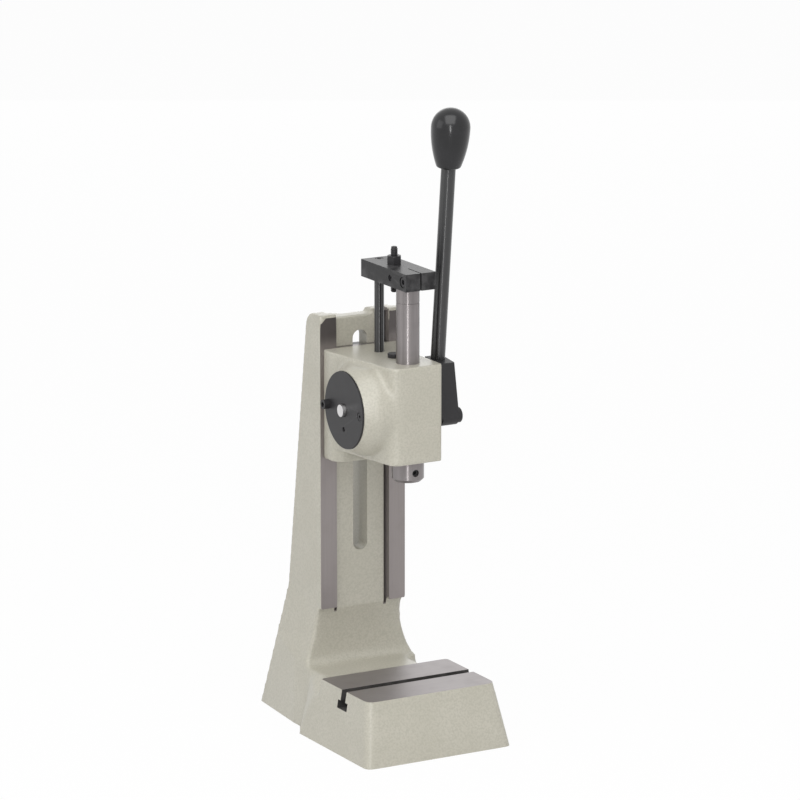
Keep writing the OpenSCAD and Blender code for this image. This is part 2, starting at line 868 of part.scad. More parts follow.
module lever_rod() {
    color(black) at_lever() translate([hub_mid_x, 0, 0]) {
        translate([0, 0, rod_seat]) cylinder(h = lever_len - rod_seat, r = rod_r);
        translate([0, 0, lever_len - over]) cylinder(h = stub_len + over, r = stub_r);
    }
}

module knob_insert() {
    color(bronze) at_lever() translate([hub_mid_x, 0, lever_len]) difference() {
        cylinder(h = insert_len, r = insert_r);
        translate([0, 0, -over]) cylinder(h = insert_len + 2 * over, r = stub_r + snug);
    }
}

// Half section of the knob: a round head over a long drawn-in side
module knob_half() {
    neck_r = knob_neck_d / 2;
    head_z0 = knob_len - knob_r;
    side_r = (pow(head_z0, 2) + pow(knob_r - neck_r, 2)) / 2 / (knob_r - neck_r);
    intersection() {
        translate([knob_r - side_r, head_z0]) circle(side_r, $fn = 256);
        square([knob_r, head_z0]);
    }
    intersection() {
        translate([0, head_z0]) circle(knob_r);
        translate([0, head_z0 - over]) square([knob_r, knob_r + over]);
    }
}

module lever_knob() {
    color(black) at_lever() translate([hub_mid_x, 0, lever_len]) difference() {
        rotate_extrude() knob_half();
        translate([0, 0, -over]) cylinder(h = insert_len + over, r = insert_r + snug);
    }
}

// Ram and stop

// One space of the rack, in Y and Z, about the middle of the space
module rack_space() {
    half = rack_pitch / 4 + backlash / 2;
    slope = tan(pressure_angle);
    root = -1.25 * gear_m;
    tip = gear_m + over;
    polygon([
        [rack_pitch_y + root, -half - root * slope], [rack_pitch_y + tip, -half - tip * slope],
        [rack_pitch_y + tip, half + tip * slope], [rack_pitch_y + root, half + root * slope]
    ]);
}

module ram() {
    first = -ceil(rack_run_out / rack_pitch);
    last = ceil((stroke + rack_run_out) / rack_pitch);
    color(steel) difference() {
        translate([0, 0, ram_bottom]) cylinder(h = ram_top - ram_bottom, r = ram_r);
        translate([0, 0, ram_bottom - over]) cylinder(h = tool_depth + over, r = tool_d / 2);
        translate([0, 0, ram_bottom + tool_screw_rise]) y_rod(-collar_d, 0, tool_screw_d / 2);
        translate([-ram_d, ram_r - rack_flat, axis_z + (first - 1) * rack_pitch])
            cube([2 * ram_d, ram_d, (last - first + 2) * rack_pitch]);
        for (i = [first : last]) translate([0, 0, axis_z + (i + 0.5) * rack_pitch])
            x_prism(-ram_d, ram_d) rack_space();
        translate([0, 0, plate_z - ram_groove_drop]) rotate_extrude()
            translate([ram_r - ram_groove_d, 0]) square([over, ram_groove_h]);
    }
}

module tool_collar() {
    collar_r = collar_d / 2;
    color(steel) difference() {
        translate([0, 0, ram_bottom]) rotate_extrude() polygon([
            [ram_r + snug, 0], [collar_r - collar_chamfer, 0], [collar_r, collar_chamfer],
            [collar_r, collar_h], [ram_r + snug, collar_h]
        ]);
        translate([0, 0, ram_bottom + tool_screw_rise]) y_rod(-collar_d, 0, tool_screw_d / 2);
    }
}

module tool_set_screw() {
    tip_y = tool_d / 2 + snug;
    color(black) translate([0, -tip_y, ram_bottom + tool_screw_rise]) rotate([90, 0, 0])
        set_screw(tool_screw_d, collar_d / 2 - tip_y - tool_screw_sink);
}

module stop_plate() {
    color(black) difference() {
        translate([-plate_w / 2, -plate_front, plate_z]) cube([plate_w, plate_front + plate_back, plate_t]);
        translate([0, 0, plate_z - over]) cylinder(h = ram_top - plate_z + over, r = ram_r + snug);
        translate([-slit_w / 2, -plate_front - over, plate_z - over])
            cube([slit_w, plate_front + over, plate_t + 2 * over]);
        translate([0, stop_y, plate_z - over]) cylinder(h = plate_t + 2 * over, r = stop_r + run_fit);
        translate([0, guide_y, plate_z - over]) cylinder(h = plate_t - plate_skin + over, r = guide_r + snug);
        translate([0, guide_y, plate_z]) cylinder(h = plate_t + over, r = guide_screw_d / 2 + bolt_gap);
        translate([0, guide_y, plate_top - guide_sink])
            cylinder(h = guide_sink + over, r = cap_r * guide_screw_d + bolt_gap);
        translate([0, clamp_screw_y, plate_mid_z]) {
            x_rod(-plate_w, -plate_w / 2 + clamp_screw_d, cap_r * clamp_screw_d + bolt_gap);
            x_rod(-plate_w / 2, plate_w / 2 - clamp_screw_wall + over, clamp_screw_d / 2 + snug);
        }
        translate([0, set_screw_y, plate_mid_z]) x_rod(-plate_w, 0, set_screw_d / 2);
    }
}

module plate_clamp_screw() {
    seat_x = -plate_w / 2 + clamp_screw_d;
    color(black) translate([seat_x, clamp_screw_y, plate_mid_z]) rotate([0, -90, 0])
        cap_screw(clamp_screw_d, clamp_screw_d - clamp_screw_sink, plate_w / 2 - clamp_screw_wall - seat_x);
}

module plate_set_screw() {
    tip_x = sqrt(pow(ram_r + snug, 2) - pow(set_screw_y - set_screw_d / 2, 2)) + snug;
    color(black) translate([-tip_x, set_screw_y, plate_mid_z]) rotate([0, -90, 0])
        set_screw(set_screw_d, plate_w / 2 - tip_x - set_screw_sink);
}

module guide_rod() {
    color(black) translate([0, guide_y, 0]) difference() {
        translate([0, 0, guide_bottom]) cylinder(h = plate_top - plate_skin - guide_bottom, r = guide_r);
        translate([0, 0, plate_top - guide_screw_len - over])
            cylinder(h = guide_screw_len + over, r = guide_screw_d / 2 + snug);
    }
}

module guide_rod_screw() {
    color(black) translate([0, guide_y, plate_top - guide_sink])
        cap_screw(guide_screw_d, guide_head_h, guide_screw_len - guide_sink);
}

module stop_lock_nut() {
    corner_r = nut_af / 2 / cos(30);
    color(black) translate([0, stop_y, plate_top]) difference() {
        intersection() {
            hex_bar(nut_af, nut_h);
            cylinder(h = nut_h, r1 = corner_r + nut_h, r2 = corner_r - 1);
        }
        translate([0, 0, -over]) cylinder(h = nut_h + 2 * over, r = stop_r + run_fit);
    }
}

module stop_screw() {
    tip = 1;
    color(black) translate([0, stop_y, 0]) {
        translate([0, 0, plate_z - stop_below + tip])
            cylinder(h = nut_top + stop_above - plate_z + stop_below - tip, r = stop_r);
        translate([0, 0, plate_z - stop_below]) cylinder(h = tip, r1 = stop_r - tip, r2 = stop_r);
    }
}

frame_casting();
head_casting();
clamp_plate();
clamp_bolts();
clamp_washers();
pinion_bush_left();
pinion_bush_right();
return_spring();
spring_cover();
spring_anchor_screw();
cover_screw();
stop_pad();
pinion_shaft();
pinion_gear();
pinion_pin();
drive_disc();
drive_key();
lever_hub();
lever_lock_screw();
shaft_end_washer();
shaft_end_screw();
lever_rod();
knob_insert();
lever_knob();
ram();
tool_collar();
tool_set_screw();
stop_plate();
plate_clamp_screw();
plate_set_screw();
guide_rod();
guide_rod_screw();
stop_lock_nut();
stop_screw();
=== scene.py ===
"""Looks of the hand press: soft castings with ground faces, blackened fittings and a bright ram.

Every length in the classes is in millimetres, in the shared frame: +X right, +Y back, +Z up, with the
origin on the bench below the ram's axis. Only the studio is set up in metres. FAR lies beyond every
piece, CLOSE is how near a face lies to its plane, FACING is the least cosine of a face that looks along
an axis, and a sign of SIDES is 1 on the right and -1 on the left.
"""

import json
import logging
import math
from collections.abc import Callable, Iterable
from dataclasses import dataclass, field
from enum import Enum

import bmesh
import bpy
from mathutils import Matrix, Vector

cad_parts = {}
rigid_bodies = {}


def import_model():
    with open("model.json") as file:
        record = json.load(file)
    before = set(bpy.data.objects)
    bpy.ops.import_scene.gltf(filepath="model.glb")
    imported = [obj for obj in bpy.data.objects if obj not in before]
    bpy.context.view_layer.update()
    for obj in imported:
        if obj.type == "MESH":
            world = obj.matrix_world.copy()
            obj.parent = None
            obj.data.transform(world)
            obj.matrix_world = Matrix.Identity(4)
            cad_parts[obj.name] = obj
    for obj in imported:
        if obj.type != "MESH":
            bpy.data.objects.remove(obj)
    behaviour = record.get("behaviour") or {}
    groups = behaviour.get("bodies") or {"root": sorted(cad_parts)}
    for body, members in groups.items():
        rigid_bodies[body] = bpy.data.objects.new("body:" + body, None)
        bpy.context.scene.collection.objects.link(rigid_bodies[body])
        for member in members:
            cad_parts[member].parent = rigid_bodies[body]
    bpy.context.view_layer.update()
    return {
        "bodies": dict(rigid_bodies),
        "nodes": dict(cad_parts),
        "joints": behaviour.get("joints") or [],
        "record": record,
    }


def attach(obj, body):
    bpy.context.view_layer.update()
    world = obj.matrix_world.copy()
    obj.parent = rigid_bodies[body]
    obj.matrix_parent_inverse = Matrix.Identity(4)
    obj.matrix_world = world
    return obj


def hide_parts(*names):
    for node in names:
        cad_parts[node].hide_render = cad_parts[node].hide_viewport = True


LOG = logging.getLogger("hand_press")
MM = 0.001
FAR = 400
CLOSE = 0.05
FACING = 0.9
SIDES = (1, -1)
QUARTER_TURN = 0.25
Colour = tuple[float, float, float]
Point2 = tuple[float, float]
Point3 = tuple[float, float, float]
PlaceTest = Callable[[Vector], bool]
FaceTest = Callable[[Vector, Vector], bool]


class Along(Enum):
    """Direction in which a profile is drawn out."""

    X = 0
    Y = 1
    Z = 2


class Join(Enum):
    """Ways of combining two solids."""

    CUT = "DIFFERENCE"
    KEEP = "INTERSECT"


class Body(Enum):
    """Moving bodies of the press."""

    FRAME = "frame"
    HEAD = "head"
    LEVER = "lever"
    RAM = "ram"
    STOP = "stop"


class Wire:
    """A shader socket that adds Math nodes when it is used in an expression."""

    def __init__(self, sheet: "NodeSheet", socket: bpy.types.NodeSocket) -> None:
        """Keeps the socket and the sheet that it belongs to."""
        self.sheet = sheet
        self.socket = socket

    def _math(self, operation: str, left: "Wire | float", right: "Wire | float") -> "Wire":
        """Adds one Math node.

        Args:
            operation: Blender's name of the operation.
            left: first value.
            right: second value.

        Returns:
            The node's output.
        """
        return self.sheet.add("ShaderNodeMath", {"operation": operation}, {0: left, 1: right})

    def __add__(self, other: "Wire | float") -> "Wire":
        """Adds a value."""
        return self._math("ADD", self, other)

    def __radd__(self, other: "Wire | float") -> "Wire":
        """Adds to a value."""
        return self._math("ADD", other, self)

    def __mul__(self, other: "Wire | float") -> "Wire":
        """Multiplies by a value."""
        return self._math("MULTIPLY", self, other)

    def __rmul__(self, other: "Wire | float") -> "Wire":
        """Multiplies a value."""
        return self._math("MULTIPLY", other, self)


class NodeSheet:
    """Node tree of a material or world, filled through one method."""

    def __init__(self, tree: bpy.types.NodeTree) -> None:
        """Starts from an empty tree."""
        self.tree = tree
        tree.nodes.clear()

    def add(
        self, kind: str, settings: dict | None = None, inputs: dict | None = None, output: int | str = 0
    ) -> Wire:
        """Adds a node.

        Args:
            kind: Blender's type name of the node.
            settings: attributes that are set first.
            inputs: values or wires by socket name or number.
            output: name or number of the output that is returned.

        Returns:
            The chosen output, or the node's first one.
        """
        node = self.tree.nodes.new(kind)
        for name, value in (settings or {}).items():
            setattr(node, name, value)
        for name, value in (inputs or {}).items():
            socket = node.inputs[name]
            if isinstance(value, Wire):
                self.tree.links.new(value.socket, socket)
            else:
                socket.default_value = value
        return Wire(self, node.outputs[output]) if len(node.outputs) else Wire(self, None)

    def place(self) -> Wire:
        """Gives the object coordinates."""
        return self.add("ShaderNodeTexCoord", output="Object")

    def noise(self, size: float, detail: float = 2, stretch: Point3 = (1, 1, 1), seed: float = 0) -> Wire:
        """Adds noise in object coordinates.

        Args:
            size: size of its grains in millimetres.
            detail: octaves of finer noise.
            stretch: how many times longer the grains are along each axis.
            seed: shift of the pattern in metres.

        Returns:
            A value from 0 to 1.
        """
        scale = tuple(1 / (size * MM * s) for s in stretch)
        spot = self.add(
            "ShaderNodeMapping", {"vector_type": "POINT"}, {0: self.place(), 1: (seed, seed, seed), 3: scale}
        )
        return self.add("ShaderNodeTexNoise", None, {"Vector": spot, "Scale": 1, "Detail": detail})

    def ramp(self, value: Wire, low: float, high: float) -> Wire:
        """Gives 0 below one value and 1 above another.

        Args:
            value: what is mapped.
            low: value that gives 0.
            high: value that gives 1.

        Returns:
            The mapped value.
        """
        inputs = {"Value": value, "From Min": low, "From Max": high}
        return self.add("ShaderNodeMapRange", {"clamp": True, "interpolation_type": "SMOOTHSTEP"}, inputs)

    def tint(self, share: Wire, first: Colour | Wire, second: Colour) -> Wire:
        """Mixes two colours.

        Args:
            share: 0 for the first colour and 1 for the second.
            first: colour at 0.
            second: colour at 1.

        Returns:
            The mixed colour.
        """
        begin = first if isinstance(first, Wire) else (*first, 1)
        return self.add("ShaderNodeMix", {"data_type": "RGBA"}, {0: share, 6: begin, 7: (*second, 1)}, 2)

    def bump(self, height: Wire, depth: float, strength: float = 1) -> Wire:
        """Makes a relief.

        Args:
            height: height over the surface, from 0 to 1.
            depth: full depth of the relief in millimetres.
            strength: how much of it shows.

        Returns:
            The bent normal.
        """
        inputs = {"Strength": strength, "Distance": depth * MM, "Height": height}
        return self.add("ShaderNodeBump", None, inputs)

    def principled(self, inputs: dict) -> None:
        """Leads a Principled shader with these inputs to the output."""
        self.finish(self.add("ShaderNodeBsdfPrincipled", None, inputs))

    def finish(self, shader: Wire) -> None:
        """Leads a surface shader to the output."""
        self.add("ShaderNodeOutputMaterial", None, {"Surface": shader})


@dataclass(frozen=True)
class CastPaint:
    """Light grey-green enamel over the grain of a casting."""

    colour: Colour = (0.433, 0.415, 0.347)
    pale: Colour = (0.46, 0.441, 0.373)
    dull: Colour = (0.373, 0.356, 0.294)
    depth: float = 0.22
    coat_roughness: float = 0.24

    def build(self, name: str) -> bpy.types.Material:
        """Makes the material: mottled colour, sand grain and a thin satin coat.

        Args:
            name: name of the material.

        Returns:
            The material.
        """
        material, sheet = new_material(name)
        mottle = sheet.noise(38, 4)
        speck = sheet.noise(1.6, 3, seed=0.37)
        grain = sheet.noise(1.9, 4, seed=0.11)
        wave = sheet.noise(11, 2, seed=0.73)
        base = sheet.tint(sheet.ramp(mottle, 0.35, 0.7), self.colour, self.pale)
        base = sheet.tint(sheet.ramp(speck, 0.38, 0.66) * 0.7, base, self.dull)
        relief = sheet.bump(grain * 0.55 + wave * 0.9, self.depth, 0.5)
        sheet.principled({
            "Base Color": base, "Roughness": 0.4 + 0.16 * grain, "Normal": relief,
            "Coat Weight": 0.45 + 0.25 * mottle, "Coat Roughness": self.coat_roughness,
        })
        return material


@dataclass(frozen=True)
class GroundSteel:
    """Bare ground metal with fine lines along one direction, darker above a height."""

    colour: Colour
    dark: Colour
    lines: Point3
    roughness: float = 0.42
    darker_from: float = 1000
    darker_rise: float = 16
    depth: float = 0.012
    spread: float = 0

    def build(self, name: str) -> bpy.types.Material:
        """Makes the material: stretched grinding lines over faint stains.

        Args:
            name: name of the material.

        Returns:
            The material.
        """
        material, sheet = new_material(name)
        lines = sheet.noise(0.5, 2, self.lines)
        broad = sheet.noise(2.2, 2, self.lines, seed=0.31)
        stain = sheet.noise(16, 3, seed=0.53)
        base = sheet.tint(lines * 0.45 + broad * 0.4, self.dark, self.colour)
        base = sheet.tint(sheet.ramp(stain, 0.45, 0.75) * 0.35, base, self.dark)
        # The base turns darker from a given height upwards.
        height = sheet.add("ShaderNodeSeparateXYZ", None, {0: sheet.place()}, 2)
        top_darkening = sheet.ramp(height, self.darker_from * MM, (self.darker_from + self.darker_rise) * MM)
        base = sheet.tint(top_darkening * 0.8, base, dimmed(self.dark, 0.35))
        sheet.principled({
            "Base Color": base, "Metallic": 1.0, "Normal": sheet.bump(lines, self.depth),
            "Roughness": self.roughness - 0.07 + 0.12 * lines + 0.05 * stain,
            "Anisotropic": self.spread, "Anisotropic Rotation": QUARTER_TURN,
        })
        return material


@dataclass(frozen=True)
class BlackOxide:
    """Blackened steel, a little worn on its edges; also used as painted shade inside the T-slot and, in part,
    in the relief grooves.
    """

    colour: Colour = (0.026, 0.025, 0.027)
    worn: Colour = (0.1, 0.098, 0.1)
    lines: Point3 = (1, 1, 1)
    roughness: float = 0.4
    depth: float = 0.012
    spread: float = 0
    gloss: float = 0.32

    def build(self, name: str) -> bpy.types.Material:
        """Makes the material: faint machining lines, cloudy sheen and paler edges.

        Args:
            name: name of the material.

        Returns:
            The material.
        """
        material, sheet = new_material(name)
        lines = sheet.noise(0.6, 2, self.lines)
        cloud = sheet.noise(9, 3, seed=0.29)
        edge = sheet.add("ShaderNodeNewGeometry", output="Pointiness")
        rub = sheet.ramp(edge, 0.53, 0.62) * sheet.ramp(cloud, 0.35, 0.65)
        base = sheet.tint(lines * 0.6 + cloud * 0.4, dimmed(self.colour, 0.72), self.colour)
        base = sheet.tint(rub * 0.45, base, self.worn)
        sheet.principled({
            "Base Color": base, "Roughness": self.roughness - 0.06 + 0.12 * cloud,
            "Normal": sheet.bump(lines, self.depth), "Specular IOR Level": self.gloss,
            "Anisotropic": self.spread, "Anisotropic Rotation": QUARTER_TURN,
        })
        return material


@dataclass(frozen=True)
class GlossMoulding:
    """Glossy black moulded plastic."""

    colour: Colour = (0.006, 0.006, 0.007)
    roughness: float = 0.16
    depth: float = 0.2

    def build(self, name: str) -> bpy.types.Material:
        """Makes the material: deep black with a faint orange peel and hand marks.

        Args:
            name: name of the material.

        Returns:
            The material.
        """
        material, sheet = new_material(name)
        peel = sheet.noise(3.5, 2)
        hand = sheet.noise(14, 3, seed=0.41)
        base = sheet.tint(sheet.ramp(hand, 0.4, 0.75), self.colour, dimmed(self.colour, 1.7))
        relief = sheet.bump(peel, self.depth, 0.12)
        sheet.principled({"Base Color": base, "Roughness": self.roughness + 0.1 * hand, "Normal": relief})
        return material


def new_material(name: str) -> tuple[bpy.types.Material, NodeSheet]:
    """Makes an empty node material.

    Args:
        name: name of the material.

    Returns:
        The material and the sheet of its nodes.
    """
    material = bpy.data.materials.new(name)
    material.use_nodes = True
    return material, NodeSheet(material.node_tree)


def dimmed(colour: Colour, share: float) -> Colour:
    """Gives a share of a colour's brightness."""
    return tuple(share * c for c in colour)


class Finishes:
    """Every finish of the press, built once."""

    def __init__(self) -> None:
        """Builds the materials."""
        self.paint = CastPaint().build("cast_paint")
        # The ways turn darker from a height of 318 mm upwards.
        self.ways = GroundSteel(
            (0.36, 0.33, 0.322), (0.255, 0.23, 0.225), (1, 1, 60), 0.45, darker_from=318
        ).build("ground_ways")
        self.table = GroundSteel(
            (0.4, 0.375, 0.375), (0.27, 0.25, 0.25), (60, 1, 1), 0.45
        ).build("ground_table")
        self.ram = GroundSteel(
            (0.34, 0.315, 0.315), (0.2, 0.185, 0.185), (1, 1, 40), 0.34, depth=0.004, spread=0.9
        ).build("ground_ram")
        self.bright = GroundSteel(
            (0.78, 0.77, 0.77), (0.62, 0.61, 0.61), (1, 12, 12), 0.36
        ).build("bright_steel")
        self.turned = GroundSteel(
            (0.36, 0.335, 0.33), (0.235, 0.215, 0.212), (1, 12, 12), 0.36
        ).build("turned_steel")
        # Dark steel for the relief grooves and the ways' inner sides: partly dark machined metal, partly
        # painted shade of the narrow recess.
        self.groove = BlackOxide((0.2, 0.18, 0.17), (0.24, 0.22, 0.2), (1, 1, 20), 0.6).build("dark_groove")
        # Near-black colour on the T-slot's faces is painted shade of the deep slot.
        self.slot = BlackOxide((0.05, 0.047, 0.045), (0.1, 0.095, 0.09), (20, 1, 1), 0.6).build("dark_slot")
        self.bronze = GroundSteel(
            (0.52, 0.36, 0.16), (0.36, 0.24, 0.1), (1, 12, 12), 0.4
        ).build("bearing_bronze")
        self.black = BlackOxide().build("black_oxide")
        self.black_milled = BlackOxide(
            (0.012, 0.0115, 0.0125), lines=(1, 30, 1), roughness=0.36, gloss=0.27
        ).build("black_oxide_milled")
        self.black_rod = BlackOxide(
            (0.008, 0.008, 0.009), lines=(60, 60, 1), roughness=0.3, depth=0.002, spread=0.98, gloss=0.85
        ).build("black_oxide_rod")
        self.knob = GlossMoulding().build("gloss_knob")


class Workshop:
    """Makes and combines meshes."""

    @staticmethod
    def spot(point: Point2, level: float, along: Along) -> Vector:
        """Places a profile's point in space.

        Args:
            point: the two coordinates of the profile, in X, Y, Z order.
            level: the third coordinate.
            along: the axis of the third coordinate.

        Returns:
            The place in metres.
        """
        values = list(point)
        values.insert(along.value, level)
        return Vector(values) * MM

    @classmethod
    def prism(cls, points: Iterable[Point2], along: Along, low: float, high: float) -> bmesh.types.BMesh:
        """Draws a flat profile out along an axis.

        Args:
            points: corners of the profile.
            along: direction of the extrusion.
            low: level of the first end.
            high: level of the second end.

        Returns:
            A closed mesh.
        """
        bm = bmesh.new()
        face = bm.faces.new([bm.verts.new(cls.spot(p, low, along)) for p in points])
        grown = bmesh.ops.extrude_face_region(bm, geom=[face])["geom"]
        step = Vector((0, 0, 0))
        step[along.value] = (high - low) * MM
        bmesh.ops.translate(bm, vec=step, verts=[v for v in grown if isinstance(v, bmesh.types.BMVert)])
        bmesh.ops.recalc_face_normals(bm, faces=bm.faces)
        return bm

    @classmethod
    def block(cls, low: Point3, high: Point3) -> bmesh.types.BMesh:
        """Makes a box between its lowest and its highest corner."""
        corners = [(low[0], low[1]), (high[0], low[1]), (high[0], high[1]), (low[0], high[1])]
        return cls.prism(corners, Along.Z, low[2], high[2])

    @staticmethod
    def drum(
        centre: Point3, radius: float, length: float, along: Along, steps: int = 96,
        far_radius: float | None = None,
    ) -> bmesh.types.BMesh:
        """Makes a cylinder or a frustum.

        Args:
            centre: middle of its first end.
            radius: its radius.
            length: its length, in the axis's positive direction.
            along: its axis.
            steps: sides of the cylinder.
            far_radius: radius of its other end, if that differs.

        Returns:
            A closed mesh.
        """
        bm = bmesh.new()
        far = radius if far_radius is None else far_radius
        bmesh.ops.create_cone(
            bm, cap_ends=True, segments=steps, radius1=radius * MM, radius2=far * MM, depth=length * MM
        )
        turn = {Along.X: Matrix.Rotation(math.pi / 2, 3, "Y"), Along.Y: Matrix.Rotation(-math.pi / 2, 3, "X")}
        if along in turn:
            bmesh.ops.rotate(bm, verts=bm.verts, cent=(0, 0, 0), matrix=turn[along])
        middle = Vector(centre) * MM
        middle[along.value] += length * MM / 2
        bmesh.ops.translate(bm, vec=middle, verts=bm.verts)
        return bm

    @staticmethod
    def trim(bm: bmesh.types.BMesh, point: Point3, normal: Point3) -> None:
        """Cuts off what lies outside a plane and closes the cut.

        Args:
            bm: convex mesh to trim.
            point: a point of the plane in millimetres.
            normal: outward normal of the plane.
        """
        geom = bm.verts[:] + bm.edges[:] + bm.faces[:]
        cut = bmesh.ops.bisect_plane(
            bm, geom=geom, plane_co=Vector(point) * MM, plane_no=Vector(normal), clear_outer=True
        )
        rim = [e for e in cut["geom_cut"] if isinstance(e, bmesh.types.BMEdge)]
        bmesh.ops.contextual_create(bm, geom=rim)
        bmesh.ops.recalc_face_normals(bm, faces=bm.faces)

    @staticmethod
    def break_edges(bm: bmesh.types.BMesh, edges: list[bmesh.types.BMEdge], width: float, steps: int) -> None:
        """Rounds edges.

        Args:
            bm: mesh that holds the edges.
            edges: what is rounded.
            width: width of the rounding in millimetres.
            steps: faces across the rounding.
        """
        bmesh.ops.bevel(bm, geom=edges, offset=width * MM, offset_type="OFFSET", segments=steps, profile=0.5,
                        affect="EDGES", material=-1, clamp_overlap=True)

    @staticmethod
    def lay(bm: bmesh.types.BMesh, name: str) -> bpy.types.Object:
        """Turns a mesh into an object of the scene.

        Args:
            bm: mesh that is used up.
            name: name of the object.

        Returns:
            The new object, at the origin.
        """
        mesh = bpy.data.meshes.new(name)
        bm.to_mesh(mesh)
        bm.free()
        piece = bpy.data.objects.new(name, mesh)
        bpy.context.scene.collection.objects.link(piece)
        return piece

    @staticmethod
    def settle(piece: bpy.types.Object) -> None:
        """Applies a piece's modifiers to its mesh.

        Args:
            piece: what is settled.
        """
        bpy.context.view_layer.update()
        graph = bpy.context.evaluated_depsgraph_get()
        mesh = bpy.data.meshes.new_from_object(piece.evaluated_get(graph))
        old = piece.data
        piece.modifiers.clear()
        piece.data = mesh
        mesh.name = old.name
        bpy.data.meshes.remove(old)

    @classmethod
    def combine(cls, piece: bpy.types.Object, tool: bmesh.types.BMesh, join: Join) -> None:
        """Combines a piece with a tool solid.

        Args:
            piece: solid that is changed.
            tool: the other solid, which is used up.
            join: how they are combined.
        """
        other = cls.lay(tool, "tool")
        change = piece.modifiers.new("combine", "BOOLEAN")
        change.operation = join.value
        change.solver = "EXACT"
        change.object = other
        cls.settle(piece)
        bpy.data.meshes.remove(other.data)

    @classmethod
    def fuse(cls, piece: bpy.types.Object, others: list[bpy.types.Object], grain: float) -> None:
        """Melts overlapping solids into one skin of even faces.

        Args:
            piece: the solid that takes in the others.
            others: solids that are used up.
            grain: size of the skin's faces in millimetres.
        """
        bm = bmesh.new()
        bm.from_mesh(piece.data)
        for other in others:
            bm.from_mesh(other.data)
            bpy.data.meshes.remove(other.data)
        bm.to_mesh(piece.data)
        bm.free()
        skin = piece.modifiers.new("skin", "REMESH")
        skin.mode = "VOXEL"
        skin.voxel_size = grain * MM
        cls.settle(piece)

    @staticmethod
    def relax(piece: bpy.types.Object, rounds: int, where: PlaceTest | None = None) -> None:
        """Rounds the edges of a skin of even faces.

        Args:
            piece: what is smoothed.
            rounds: number of smoothing passes.
            where: test of a place in millimetres; outside it nothing moves.
        """
        bm = bmesh.new()
        bm.from_mesh(piece.data)
        verts = [v for v in bm.verts if where is None or where(v.co / MM)]
        for _ in range(rounds):
            bmesh.ops.smooth_vert(
                bm, verts=verts, factor=0.5, use_axis_x=True, use_axis_y=True, use_axis_z=True
            )
        bm.to_mesh(piece.data)
        bm.free()

    @staticmethod
    def clean(piece: bpy.types.Object, reach: float = 0.01) -> None:
        """Closes the slivers that cutting leaves.

        Args:
            piece: what is cleaned.
            reach: distance in millimetres below which points become one.
        """
        bm = bmesh.new()
        bm.from_mesh(piece.data)
        bmesh.ops.remove_doubles(bm, verts=bm.verts, dist=reach * MM)
        bmesh.ops.dissolve_degenerate(bm, edges=bm.edges, dist=reach * MM)
        bmesh.ops.triangulate(bm, faces=[f for f in bm.faces if len(f.verts) > 4])
        first: dict[frozenset[bmesh.types.BMVert], bmesh.types.BMFace] = {}
        fins: set[bmesh.types.BMFace] = set()
        for face in bm.faces:
            twin = first.setdefault(frozenset(face.verts), face)
            if twin is not face:
                fins |= {twin, face}
        bmesh.ops.delete(bm, geom=list(fins), context="FACES")
        bm.to_mesh(piece.data)
        bm.free()

    @staticmethod
    def shade(piece: bpy.types.Object, angle: float = 32) -> None:
        """Shades a piece smoothly, apart from edges sharper than an angle in degrees."""
        piece.data.polygons.foreach_set("use_smooth", [True] * len(piece.data.polygons))
        piece.data.set_sharp_from_angle(angle=math.radians(angle))

    @staticmethod
    def dress(
        piece: bpy.types.Object, finish: bpy.types.Material, *others: tuple[bpy.types.Material, FaceTest]
    ) -> None:
        """Gives a piece its finishes.

        Args:
            piece: what is dressed.
            finish: finish of most faces.
            others: further finishes, each with a test of a face's middle in millimetres and normal.
        """
        piece.data.materials.clear()
        for material in (finish, *(m for m, _ in others)):
            piece.data.materials.append(material)
        for polygon in piece.data.polygons:
            middle, normal = polygon.center / MM, polygon.normal
            polygon.material_index = next(
                (i for i, (_, test) in enumerate(others, 1) if test(middle, normal)), 0
            )


class Fitter:
    """Puts finished pieces in place of the CAD nodes."""

    def __init__(self) -> None:
        """Starts an empty count."""
        self.count = 0

    def fit(self, piece: bpy.types.Object, body: Body, slot: str, *nodes: str) -> None:
        """Makes a piece ride on a body in place of CAD nodes.

        Args:
            piece: the finished piece.
            body: body that carries it.
            slot: material slot of the record, which is not used.
            nodes: CAD nodes that it stands for.
        """
        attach(piece, body.value)
        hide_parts(*nodes)
        self.count += 1
        LOG.info("%s rides on %s with %d faces", piece.name, body.value, len(piece.data.polygons))

    @staticmethod
    def node_object(node: str, frame: dict) -> bpy.types.Object:
        """Gives the object of a CAD node."""
        found = frame["nodes"][node]
        return found if isinstance(found, bpy.types.Object) else bpy.data.objects[found]


